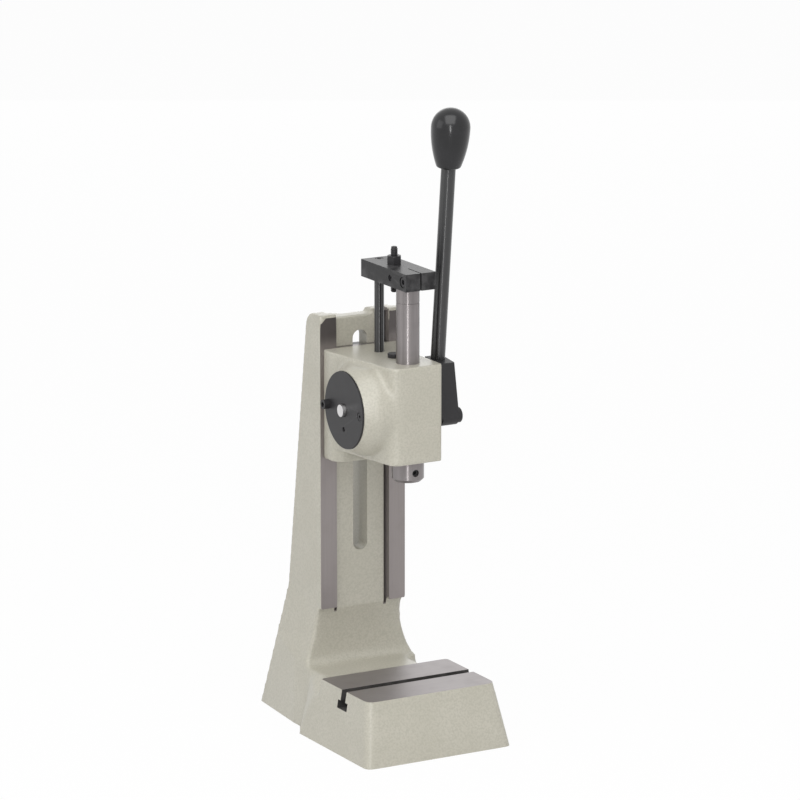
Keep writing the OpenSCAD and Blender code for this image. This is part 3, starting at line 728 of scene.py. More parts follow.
@dataclass
class FrameCasting:
    """Foot, table, column and ways, cast in one piece and ground where the head and the work sit."""

    table_half_w: float = 60
    table_front: float = -41
    table_back: float = 39.5
    table_z: float = 52
    foot_half_w: float = 68.4
    foot_front: float = -54.6
    foot_edge_r: float = 5
    foot_back: float = 64
    foot_tail_z: float = 7
    ledge_z: float = 49
    taper_back: float = 73
    throat: float = 75.4
    web_y: float = 80.4
    web_back: float = 93.8
    column_half_w: float = 40
    way_in_x: float = 24.8
    way_bottom: float = 99.5
    way_top: float = 347.1
    way_chamfer: float = 5
    way_spare: float = 0.4
    cap_lip: float = 0.8
    cap_run: float = 8
    column_top: float = 349.5
    ear_left_x: float = -32
    ear_right_x: float = 11
    ear_slope: float = 7
    ear_fall_x: float = 29
    ear_rise: float = 4
    back_top_y: float = 99.1
    back_lean: float = 8.1
    tail_lean: float = 14.6
    tail_back: float = 161.3
    top_corner_r: float = 13
    bend_r: float = 120
    hollow_r: float = 8
    bow_top: float = 97
    bow_z: float = 68
    bow_depth: float = 4.5
    root_half_w: float = 59
    tail_half_w: float = 52.2
    flank_step: float = 1.5
    skirt_front: Point3 = (40.5, 80.4, 85)
    skirt_back: Point3 = (42.5, 138, 88)
    skirt_top: float = 108
    flare_top: float = 95
    flare_bottom: float = 52
    flare_w: float = 50
    channel_half_w: float = 12
    channel_floor: float = 14
    slot_r: float = 6.75
    slot_bottom: float = 145
    slot_top: float = 333
    relief_w: float = 2.5
    relief_d: float = 3.6
    relief_run: float = 4
    tslot_y: float = -0.75
    tslot_neck_w: float = 8
    tslot_neck_z: float = 43
    tslot_foot_w: float = 16
    tslot_foot_z: float = 36.2
    soft_front: float = -25
    soft_bottom: float = 6
    soft_top: float = 48
    right_shoulder_x: float = 37.5
    left_shoulder_x: float = 48
    shoulder_fall: float = 0.8
    shoulder_back: float = 74
    spare: float = 6
    overlap: float = 3
    margin: float = 5
    grain: float = 1.2
    all_rounds: int = 2
    front_rounds: int = 28
    hollow_rounds: int = 32
    root_rounds: int = 7

    def foot_block(self) -> bmesh.types.BMesh:
        """Makes the drafted foot, with spare height above the table and below the bench.

        Returns:
            The foot, with round front edges.
        """
        low, high = -2 * self.spare, self.table_z + 2 * self.spare
        bm = Workshop.block((-FAR, -FAR, low), (FAR, self.table_back, high))
        side = self.foot_half_w - self.table_half_w
        front = self.table_front - self.foot_front
        ahead = Vector((0, -self.table_z, front)).normalized()
        Workshop.trim(bm, (0, self.table_front, self.table_z), tuple(ahead))
        for sign in SIDES:
            out = Vector((sign * self.table_z, 0, side)).normalized()
            corner = Vector((sign * self.table_half_w, self.table_front, self.table_z))
            Workshop.trim(bm, tuple(corner), tuple(out))
            axis = corner - (out + ahead) * self.foot_edge_r / (1 + out.dot(ahead))
            for share in (0.25, 0.5, 0.75):
                facing = out.lerp(ahead, share).normalized()
                Workshop.trim(bm, tuple(axis + facing * self.foot_edge_r), tuple(facing))
        return bm

    def tail_block(self) -> bmesh.types.BMesh:
        """Makes the foot behind the table, drawn in towards the column.

        Returns:
            The rear of the foot.
        """
        bm = Workshop.block((-FAR, 0, -self.spare), (FAR, FAR, self.ledge_z))
        side = self.foot_half_w - self.table_half_w
        tail_x = self.foot_half_w - side * self.foot_tail_z / self.table_z
        a = Vector((self.table_half_w, self.table_back + 1.5, self.ledge_z))
        b = Vector((self.flare_w, self.taper_back, self.ledge_z))
        c = Vector((tail_x, self.foot_back, self.foot_tail_z))
        normal = (c - a).cross(b - a)
        for sign in SIDES:
            Workshop.trim(bm, (sign * self.table_half_w, 0, self.table_z), (sign * self.table_z, 0, side))
            Workshop.trim(bm, (sign * a.x, a.y, a.z), (sign * normal.x, normal.y, normal.z))
            level = sign * self.shoulder(sign)
            Workshop.trim(bm, (level, 0, self.ledge_z), (sign * self.shoulder_fall, 0, 1))
        rise = self.ledge_z - self.foot_tail_z
        Workshop.trim(bm, (0, self.foot_back, self.foot_tail_z), (0, rise, self.foot_back - self.taper_back))
        return bm

    def side_profile(self) -> list[Point2]:
        """Gives the column's outline in Y and Z, from the bench round the back to the front hollow.

        Returns:
            The points of the outline.
        """
        lean, tail = math.radians(self.back_lean), math.radians(self.tail_lean)
        back_zero = self.back_top_y + self.column_top * math.tan(lean)
        bend_z = (self.tail_back - back_zero) / (math.tan(tail) - math.tan(lean))
        bend_y = self.tail_back - bend_z * math.tan(tail)
        reach = self.bend_r * math.tan((tail - lean) / 2)
        centre = Vector((bend_y - reach * math.sin(lean), bend_z + reach * math.cos(lean)))
        centre += self.bend_r * Vector((math.cos(lean), math.sin(lean)))
        top = Vector((self.back_top_y - self.top_corner_r * (1 - math.sin(lean)) / math.cos(lean),
                      self.column_top - self.top_corner_r))
        bow_rise, toe_z = self.bow_top - self.bow_z, self.ledge_z + self.hollow_r
        bow_r = (bow_rise * bow_rise + self.bow_depth * self.bow_depth) / 2 / self.bow_depth
        bow = Vector((self.web_y + self.bow_depth - bow_r, self.bow_z))
        bow_end = math.asin((toe_z - self.bow_z) / bow_r)
        toe = Vector((bow.x + bow_r * math.cos(bow_end) - self.hollow_r, toe_z))
        root = self.table_back - self.margin
        low = -self.spare
        points = [(root, low), (self.tail_back - low * math.tan(tail), low)]
        points += arc(centre, self.bend_r, math.pi + tail, math.pi + lean, 16)
        points += arc(top, self.top_corner_r, lean, math.pi / 2, 12)
        points += [(self.web_y, self.column_top)]
        points += arc(bow, bow_r, math.asin(bow_rise / bow_r), bow_end, 10)
        points += arc(toe, self.hollow_r, 0, -math.pi / 2, 12)
        return points + [(root, self.ledge_z)]

    def face_profile(self) -> list[Point2]:
        """Gives the column's outline in X and Z, with its flare.

        Returns:
            The points of the outline.
        """
        run, rise = self.flare_w - self.column_half_w, self.flare_top - self.flare_bottom
        radius = (rise * rise + run * run) / 2 / run
        angle = math.asin(rise / radius)
        centre = Vector((self.column_half_w + radius, self.flare_top))
        half = [(self.root_half_w, -self.spare)]
        half += arc(centre, radius, math.pi + angle, math.pi, 14)
        half += [(self.column_half_w, self.column_top + self.spare)]
        return half + [(-x, z) for x, z in reversed(half)]

    @staticmethod
    def outside(sign: int, top: float, corners: tuple[Vector, Vector, Vector]) -> bmesh.types.BMesh:
        """Makes a wedge that fills what lies outside a plane beside the column.

        Args:
            sign: 1 for the right side and -1 for the left one.
            top: height of the wedge's top.
            corners: three points of the plane on the right side: low front, low back and high back.

        Returns:
            The wedge.
        """
        front, back, high = corners
        inward = (front - back).cross(high - back)
        x0, x1 = sorted((0, 2 * sign * FAR))
        wedge = Workshop.block((x0, 0, -FAR), (x1, FAR, top))
        Workshop.trim(wedge, (sign * back.x, back.y, back.z), (sign * inward.x, inward.y, inward.z))
        return wedge

    def rear_skirt(self) -> bpy.types.Object:
        """Makes the lower rear of the column, whose side edges run straight down to the bench.

        Returns:
            The skirt, with the rear channel in it.
        """
        skirt = Workshop.lay(Workshop.prism(self.side_profile(), Along.X, -FAR, FAR), "rough")
        box = Workshop.block((-FAR, self.web_y + 1, -self.spare), (FAR, FAR, self.skirt_top))
        Workshop.combine(skirt, box, Join.KEEP)
        heel = Vector((self.tail_half_w, self.tail_back, 0))
        for sign in SIDES:
            beside = self.outside(sign, FAR, (Vector(self.skirt_front), heel, Vector(self.skirt_back)))
            Workshop.combine(skirt, beside, Join.CUT)
        Workshop.combine(skirt, self.channel(), Join.CUT)
        return skirt

    def channel(self) -> bmesh.types.BMesh:
        """Makes the tool that opens the channel in the column's back."""
        half = self.channel_half_w
        return Workshop.block((-half, self.web_back, self.channel_floor), (half, FAR, FAR))

    def column_block(self) -> bpy.types.Object:
        """Makes the column from its outlines, with its rear channel, its ears and its shoulders.

        Returns:
            The column.
        """
        column = Workshop.lay(Workshop.prism(self.side_profile(), Along.X, -FAR, FAR), "frame_casting_soft")
        Workshop.combine(column, Workshop.prism(self.face_profile(), Along.Y, 0, FAR), Join.KEEP)
        high = self.flare_top
        back = self.tail_back - high * math.tan(math.radians(self.tail_lean))
        corners = (Vector((self.root_half_w, self.web_y, 0)), Vector((self.tail_half_w, self.tail_back, 0)),
                   Vector((self.column_half_w + self.flank_step, back, high)))
        for sign in SIDES:
            Workshop.combine(column, self.outside(sign, high, corners), Join.CUT)
        Workshop.combine(column, self.channel(), Join.CUT)
        for outline in self.ear_outlines():
            Workshop.combine(column, Workshop.prism(outline, Along.Y, 0, FAR), Join.CUT)
        for sign in SIDES:
            fall = Workshop.prism(self.shoulder_outline(sign), Along.Y, 0, self.shoulder_back)
            Workshop.combine(column, fall, Join.CUT)
        return column

    def shoulder(self, sign: int) -> float:
        """Gives how far out the floor behind the table stays level on one side."""
        return self.right_shoulder_x if sign > 0 else self.left_shoulder_x

    def shoulder_outline(self, sign: int) -> list[Point2]:
        """Gives in X and Z what is taken off the floor behind the table, which falls to both sides.

        Args:
            sign: 1 for the right side and -1 for the left one.

        Returns:
            The corners of the outline.
        """
        level, out, over = self.shoulder(sign), self.foot_half_w + 10, self.ledge_z + 1
        low = self.ledge_z - (out - level) * self.shoulder_fall
        return [(sign * x, z) for x, z in ((level, self.ledge_z), (out, low), (out, over), (level, over))]

    def ear_outlines(self) -> list[list[Point2]]:
        """Gives in X and Z what is taken off between the two ears, and off the right ear's outer end.

        Returns:
            The two outlines.
        """
        top, low, over = self.column_top, self.column_top - self.ear_rise, self.column_top + 2
        out = self.column_half_w + 2
        gap = [(self.ear_left_x + self.ear_slope, low), (self.ear_right_x, low), (self.ear_right_x, over),
               (self.ear_left_x, over)]
        end = [(self.ear_fall_x, top), (out, low), (out, over), (self.ear_fall_x, over)]
        return [gap, end]

    def way_outline(self, sign: int) -> list[Point2]:
        """Gives the ground face of one way in X and Z.

        Args:
            sign: 1 for the right way and -1 for the left one.

        Returns:
            The corners of the face.
        """
        out, cut = self.column_half_w + 1, self.way_chamfer + 1
        near, low = self.way_in_x - self.way_spare, self.way_bottom - self.way_spare
        corners = [(near, low), (out, low), (out, self.way_top - cut), (out - cut, self.way_top),
                   (near, self.way_top)]
        return [(sign * x, z) for x, z in corners]

    def rough_way(self, sign: int) -> bmesh.types.BMesh:
        """Makes one way with spare metal in front of its face.

        Args:
            sign: 1 for the right way and -1 for the left one.

        Returns:
            The rough way.
        """
        x0, x1 = sorted((sign * self.way_in_x, sign * self.column_half_w))
        high = (x1, self.web_y + self.overlap, self.way_top - self.way_chamfer - 3)
        return Workshop.block((x0, self.throat - self.spare, self.way_bottom), high)

    def way_cap(self, sign: int) -> bmesh.types.BMesh:
        """Makes the painted cap above one way.

        Args:
            sign: 1 for the right way and -1 for the left one.

        Returns:
            The cap.
        """
        x0, x1 = sorted((sign * self.way_in_x, sign * self.column_half_w))
        low = (x0, self.throat - self.cap_lip, self.way_top - self.way_chamfer - self.cap_run)
        return Workshop.block(low, (x1, self.web_y + self.overlap, self.column_top))

    def slot_outline(self) -> list[Point2]:
        """Gives the clamping slot in X and Z.

        Returns:
            The points of the slot.
        """
        low, high = self.slot_bottom + self.slot_r, self.slot_top - self.slot_r
        upper = arc(Vector((0, high)), self.slot_r, 0, math.pi, 24)
        return upper + arc(Vector((0, low)), self.slot_r, math.pi, 2 * math.pi, 24)

    def cutters(self) -> list[bmesh.types.BMesh]:
        """Gives the tools that grind the faces and cut the slots.

        Returns:
            The tools, in the order of their use.
        """
        lap, over = self.overlap, self.table_z + 3 * self.spare
        ahead = self.throat - 2 * self.spare
        tools = [
            Workshop.block((-FAR, -FAR, -FAR), (FAR, FAR, 0)),
            Workshop.block((-FAR, -FAR, self.table_z), (FAR, self.table_back + self.margin, over)),
            Workshop.prism(self.tslot_outline(over), Along.X, -FAR, FAR),
            Workshop.prism(self.slot_outline(), Along.Y, self.web_y - lap, self.web_back + lap),
        ]
        for sign in SIDES:
            tools.append(Workshop.prism(self.way_outline(sign), Along.Y, ahead, self.throat))
            x0, x1 = sorted((sign * self.way_in_x, sign * (self.way_in_x - self.relief_w)))
            low = (x0, ahead, self.way_bottom - self.relief_run)
            tools.append(Workshop.block(low, (x1, self.web_y + self.relief_d, self.way_top)))
        return tools

    def tslot_outline(self, over: float) -> list[Point2]:
        """Gives the T-slot in Y and Z.

        Args:
            over: height up to which its tool reaches.

        Returns:
            The corners of the slot.
        """
        neck, foot, y = self.tslot_neck_w / 2, self.tslot_foot_w / 2, self.tslot_y
        low, step = self.tslot_foot_z, self.tslot_neck_z
        return [(y - foot, low), (y + foot, low), (y + foot, step), (y + neck, step), (y + neck, over),
                (y - neck, over), (y - neck, step), (y - foot, step)]

    def in_hollow(self, place: Vector) -> bool:
        """Tells whether a place lies in the soft hollow between the table and the ways.

        Args:
            place: the place in millimetres.

        Returns:
            True inside the hollow.
        """
        level = self.soft_bottom < place.z < self.way_bottom - 3
        inside = abs(place.x) < self.way_in_x + 10 or place.z < self.soft_top
        return level and inside and self.table_back + 2.5 < place.y < self.web_back

    def on_root_edge(self, place: Vector) -> bool:
        """Tells whether a place lies on the column's side edges below the ways."""
        level = self.soft_top - 4 < place.z < self.way_bottom - 3
        return level and place.y < self.web_back and abs(place.x) > self.way_in_x + 4

    def is_way(self, middle: Vector, normal: Vector) -> bool:
        """Tells whether a face belongs to the ground face of a way."""
        return normal.y < -FACING and abs(middle.y - self.throat) < CLOSE and middle.z < self.way_top

    def is_table(self, middle: Vector, normal: Vector) -> bool:
        """Tells whether a face belongs to the ground table or to the bench side of the foot."""
        return abs(normal.z) > FACING and (abs(middle.z - self.table_z) < CLOSE or abs(middle.z) < CLOSE)

    def is_groove(self, middle: Vector, normal: Vector) -> bool:
        """Tells whether a face lies in a relief groove or on a way's inner side.

        Args:
            middle: middle of the face in millimetres.
            normal: direction of the face, which doesn't matter here.

        Returns:
            True for such a face.
        """
        beside = -self.relief_w - 2 * CLOSE < abs(middle.x) - self.way_in_x < 2 * CLOSE
        deep = self.throat < middle.y < self.web_y + self.margin
        return beside and deep and middle.z > self.way_bottom - self.margin

    def is_tslot(self, middle: Vector, normal: Vector) -> bool:
        """Tells whether a face lies in the T-slot."""
        inside = abs(normal.x) < 0.5 and abs(middle.y - self.tslot_y) < self.tslot_foot_w / 2 + CLOSE
        return inside and self.tslot_foot_z - 2 * CLOSE < middle.z < self.table_z - 2 * CLOSE

    def build(self, finishes: Finishes, fitter: Fitter) -> None:
        """Builds and dresses the casting.

        Args:
            finishes: the finishes of the press.
            fitter: puts the piece in place.
        """
        piece = self.column_block()
        others = [self.foot_block(), self.tail_block()]
        others += [make(sign) for make in (self.rough_way, self.way_cap) for sign in SIDES]
        Workshop.fuse(piece, [self.rear_skirt()] + [Workshop.lay(bm, "rough") for bm in others], self.grain)
        Workshop.relax(piece, self.all_rounds)
        Workshop.relax(piece, self.front_rounds, lambda place: place.y < self.soft_front)
        Workshop.relax(piece, self.hollow_rounds, self.in_hollow)
        Workshop.relax(piece, self.root_rounds, self.on_root_edge)
        for tool in self.cutters():
            Workshop.combine(piece, tool, Join.CUT)
        Workshop.clean(piece)
        # Painted shade: near-black on the T-slot's faces, and a darker steel in the relief grooves and on the
        # ways' inner sides.
        Workshop.dress(piece, finishes.paint, (finishes.ways, self.is_way), (finishes.table, self.is_table),
                       (finishes.groove, self.is_groove), (finishes.slot, self.is_tslot))
        Workshop.shade(piece)
        fitter.fit(piece, Body.FRAME, "paint", "frame_casting")


@dataclass
class HeadCasting:
    """Sliding head: rear block, nose round the ram and the round spring housing on the left."""

    z: float = 229
    top: float = 321
    nose_z: float = 240
    nose_x: float = 22
    nose_front: float = -18.5
    nose_left_x: float = 25
    nose_left_r: float = 9
    nose_right_r: float = 2
    block_half_w: float = 36.5
    block_front: float = 54
    block_r: float = 12
    back: float = 75.3
    tongue_half_w: float = 24.7
    tongue_y: float = 80
    axis_y: float = 21.6
    axis_z: float = 282.2
    housing_r: float = 39.2
    housing_root_x: float = -33.5
    mouth_r: float = 33.1
    crest_drop: float = 3
    housing_x: float = -44.8
    rim_x: float = -46.3
    rim_r: float = 32.15
    chamber_r: float = 29.5
    chamber_x: float = -31
    cavity_r: float = 17.3
    bush_r: float = 10.02
    bush_x: float = 7.4
    ram_bore_r: float = 9.55
    guide_y: float = 47.5
    guide_r: float = 4.05
    guide_bottom: float = 249
    pad_y: float = 22.5
    pad_r: float = 3.02
    pad_bottom: float = 312
    bolt_r: float = 5.02
    bolt_z: tuple[float, float] = (245, 305)
    bolt_front: float = 60
    screw_r: float = 2.52
    screw_out: float = 26.5
    screw_end: float = -23
    overrun: float = 1
    spare: float = 6
    grain: float = 1.0
    all_rounds: int = 3
    blend_rounds: int = 36

    def nose_plan(self) -> list[Point2]:
        """Gives the nose's outline in X and Y, which swells towards the spring housing on the left.

        Returns:
            The points of the outline.
        """
        left, right = self.nose_left_r, self.nose_right_r
        flat = self.block_front + self.block_r
        left_centre = Vector((left - self.nose_left_x, self.nose_front + left))
        right_centre = Vector((self.nose_x - right, self.nose_front + right))
        points = [(self.nose_x, self.back), (-self.block_half_w, self.back), (-self.block_half_w, flat)]
        points += arc(left_centre, left, math.pi, 1.5 * math.pi, 10)
        return points + arc(right_centre, right, 1.5 * math.pi, 2 * math.pi, 6)

    def block_plan(self) -> list[Point2]:
        """Gives the rear block's outline in X and Y, with round front corners.

        Returns:
            The points of the outline.
        """
        half, front, r = self.block_half_w, self.block_front, self.block_r
        points = [(half, self.back + self.spare), (-half, self.back + self.spare)]
        points += arc(Vector((r - half, front + r)), r, math.pi, 1.5 * math.pi, 12)
        return points + arc(Vector((half - r, front + r)), r, 1.5 * math.pi, 2 * math.pi, 12)

    def rough(self) -> list[bmesh.types.BMesh]:
        """Gives the overlapping solids of the rough casting.

        Returns:
            The solids, the nose first.
        """
        spare = self.spare
        fall = (self.housing_r - self.mouth_r) / (self.housing_root_x - self.rim_x)
        housing = Workshop.drum((self.rim_x - spare, self.axis_y, self.axis_z), self.mouth_r - spare * fall,
                                self.housing_root_x - self.rim_x + spare, Along.X, far_radius=self.housing_r)
        neck = Workshop.drum((self.housing_root_x - 0.5, self.axis_y, self.axis_z), self.housing_r,
                             -self.housing_root_x, Along.X)
        for bm in (housing, neck):
            Workshop.trim(bm, (0, 0, self.top - self.crest_drop), (0, 0, 1))
        return [
            Workshop.prism(self.nose_plan(), Along.Z, self.nose_z, self.top),
            Workshop.prism(self.block_plan(), Along.Z, self.z, self.top),
            housing,
            neck,
        ]

    def cutters(self) -> list[bmesh.types.BMesh]:
        """Gives the tools that face and bore the casting.

        Returns:
            The tools, in the order of their use.
        """
        tongue = self.tongue_half_w
        tools = [
            Workshop.block((-FAR, -FAR, 0), (self.rim_x, FAR, FAR)),
            self.cross_bore(self.rim_x, self.housing_x, self.rim_r),
            Workshop.block((-FAR, self.tongue_y, 0), (FAR, FAR, FAR)),
            Workshop.block((-FAR, self.back, 0), (-tongue, FAR, FAR)),
            Workshop.block((tongue, self.back, 0), (FAR, FAR, FAR)),
            Workshop.drum((0, 0, 0), self.ram_bore_r, FAR, Along.Z),
            self.cross_bore(self.housing_x, self.chamber_x, self.chamber_r),
            self.cross_bore(self.chamber_x, self.bush_x, self.cavity_r),
            self.cross_bore(self.bush_x, FAR, self.bush_r, steps=64),
            Workshop.drum((0, self.guide_y, self.guide_bottom), self.guide_r, FAR, Along.Z, 48),
            Workshop.drum((0, self.pad_y, self.pad_bottom), self.pad_r, FAR, Along.Z, 48),
        ]
        for height in self.bolt_z:
            tools.append(Workshop.drum((0, self.bolt_front, height), self.bolt_r, FAR, Along.Y, 48))
        for sign in SIDES:
            off = sign * self.screw_out
            tools.append(self.cross_bore(self.chamber_x, self.screw_end, self.screw_r, off, 32))
        return tools

    def cross_bore(
        self, start: float, end: float, radius: float, off: float = 0, steps: int = 96
    ) -> bmesh.types.BMesh:
        """Makes the tool of a bore along the pinion's axis.

        Args:
            start: X of the face that the bore starts from.
            end: X of its end.
            radius: its radius.
            off: how far it lies behind the axis.
            steps: sides of the tool.

        Returns:
            The tool, which starts a little before the face.
        """
        centre = (start - self.overrun, self.axis_y + off, self.axis_z)
        return Workshop.drum(centre, radius, end - start + self.overrun, Along.X, steps)

    def in_blend(self, place: Vector) -> bool:
        """Tells whether a place lies where the nose, the block and the housing run into each other."""
        return place.x < 4 and place.y < self.back - 8 and self.nose_z + 4 < place.z < self.top - 3

    def is_bare(self, middle: Vector, normal: Vector) -> bool:
        """Tells whether a face is machined: the sliding faces and the ram's bore."""
        bore = math.hypot(middle.x, middle.y) < self.ram_bore_r + CLOSE
        return bore or middle.y > self.back - CLOSE

    def build(self, finishes: Finishes, fitter: Fitter) -> None:
        """Builds and dresses the casting.

        Args:
            finishes: the finishes of the press.
            fitter: puts the piece in place.
        """
        first, *rest = [Workshop.lay(bm, "head_casting_soft") for bm in self.rough()]
        Workshop.fuse(first, rest, self.grain)
        Workshop.relax(first, self.all_rounds)
        Workshop.relax(first, self.blend_rounds, self.in_blend)
        for tool in self.cutters():
            Workshop.combine(first, tool, Join.CUT)
        Workshop.clean(first)
        Workshop.dress(first, finishes.paint, (finishes.turned, self.is_bare))
        Workshop.shade(first)
        fitter.fit(first, Body.HEAD, "paint", "head_casting")


@dataclass
class LeverKnob:
    """Egg-shaped knob on the lever, turned about the leaning rod."""

    axis: Point3 = (38.5, 21.6, 282.2)
    lean: float = 5.9
    start: float = 197.5
    radius: float = 16
    length: float = 49.4
    neck_r: float = 9.8
    bore_r: float = 7.02
    bore_depth: float = 20.4
    rim_bevel: float = 1.2
    steps: int = 96

    def turned(self) -> bmesh.types.BMesh:
        """Turns the knob about Z, with the round rim of its neck at the origin.

        Returns:
            A closed mesh.
        """
        shoulder = self.length - self.radius
        run = self.radius - self.neck_r
        side_r = (shoulder * shoulder + run * run) / 2 / run
        bm = bmesh.new()
        widest = bm.verts.new((self.radius * MM, 0, shoulder * MM))
        turn = dict(axis=(0, 1, 0), dvec=(0, 0, 0), use_merge=False)
        side_centre = ((self.radius - side_r) * MM, 0, shoulder * MM)
        fall = math.asin(shoulder / side_r)
        spun = bmesh.ops.spin(bm, geom=[widest], cent=side_centre, steps=20, angle=fall, **turn)
        side = spun["geom_last"][0]
        bmesh.ops.spin(bm, geom=[widest], cent=(0, 0, shoulder * MM), steps=24, angle=-math.pi / 2, **turn)
        for place in ((self.bore_r, 0), (self.bore_r, self.bore_depth), (0, self.bore_depth)):
            corner = bm.verts.new((place[0] * MM, 0, place[1] * MM))
            bm.edges.new((side, corner))
            side = corner
        bmesh.ops.spin(bm, geom=bm.verts[:] + bm.edges[:], cent=(0, 0, 0), axis=(0, 0, 1), dvec=(0, 0, 0),
                       angle=2 * math.pi, steps=self.steps, use_merge=True)
        bmesh.ops.remove_doubles(bm, verts=bm.verts, dist=1e-6)
        bmesh.ops.recalc_face_normals(bm, faces=bm.faces)
        between = (self.bore_r + self.neck_r) / 2 * MM
        rim = [e for e in bm.edges if all(v.co.z < 1e-6 and v.co.to_2d().length > between for v in e.verts)]
        Workshop.break_edges(bm, rim, self.rim_bevel, 4)
        return bm

    def build(self, finishes: Finishes, fitter: Fitter) -> None:
        """Builds and dresses the knob.

        Args:
            finishes: the finishes of the press.
            fitter: puts the piece in place.
        """
        bm = self.turned()
        place = Matrix.Translation(Vector(self.axis) * MM) @ Matrix.Rotation(math.radians(self.lean), 4, "X")
        bmesh.ops.transform(bm, matrix=place @ Matrix.Translation((0, 0, self.start * MM)), verts=bm.verts)
        piece = Workshop.lay(bm, "lever_knob_gloss")
        Workshop.dress(piece, finishes.knob)
        Workshop.shade(piece, 50)
        fitter.fit(piece, Body.LEVER, "knob_plastic", "lever_knob")


@dataclass
class StopScrew:
    """Stop screw with its thread."""

    y: float = 22.5
    bottom: float = 375.5
    top: float = 413.4
    radius: float = 3
    pitch: float = 1
    depth: float = 0.58
    crest: float = 0.12
    foot_share: float = 0.88
    end_bevel: float = 0.7
    steps: int = 20

    def build(self, finishes: Finishes, fitter: Fitter) -> None:
        """Builds and dresses the screw: a core with a thread wound round it.

        Args:
            finishes: the finishes of the press.
            fitter: puts the piece in place.
        """
        root = self.radius - self.depth
        bm = Workshop.drum((0, 0, self.bottom), root + 0.05, self.top - self.bottom, Along.Z, 40)
        Workshop.break_edges(bm, [e for e in bm.edges if e.calc_face_angle() > 1], self.end_bevel, 2)
        low = self.bottom + self.pitch
        half, tip = self.foot_share * self.pitch / 2, self.crest / 2
        corners = ((root, low - half), (self.radius, low - tip), (self.radius, low + tip), (root, low + half))
        ridge = bm.faces.new([bm.verts.new((x * MM, 0, z * MM)) for x, z in corners])
        turns = int((self.top - self.bottom) / self.pitch) - 2
        bmesh.ops.spin(bm, geom=[ridge, *ridge.edges, *ridge.verts], cent=(0, 0, 0), axis=(0, 0, 1),
                       dvec=(0, 0, self.pitch * MM / self.steps), angle=2 * math.pi * turns,
                       steps=turns * self.steps, use_merge=False)
        bmesh.ops.recalc_face_normals(bm, faces=bm.faces)
        bmesh.ops.translate(bm, vec=(0, self.y * MM, 0), verts=bm.verts)
        piece = Workshop.lay(bm, "stop_screw_threaded")
        Workshop.dress(piece, finishes.black)
        Workshop.shade(piece, 40)
        fitter.fit(piece, Body.STOP, "black_steel", "stop_screw")


@dataclass(frozen=True)
class Fitting:
    """One machined fitting whose edges are broken."""

    node: str
    body: Body
    slot: str
    finish: str
    edge: float
    angle: float = 30


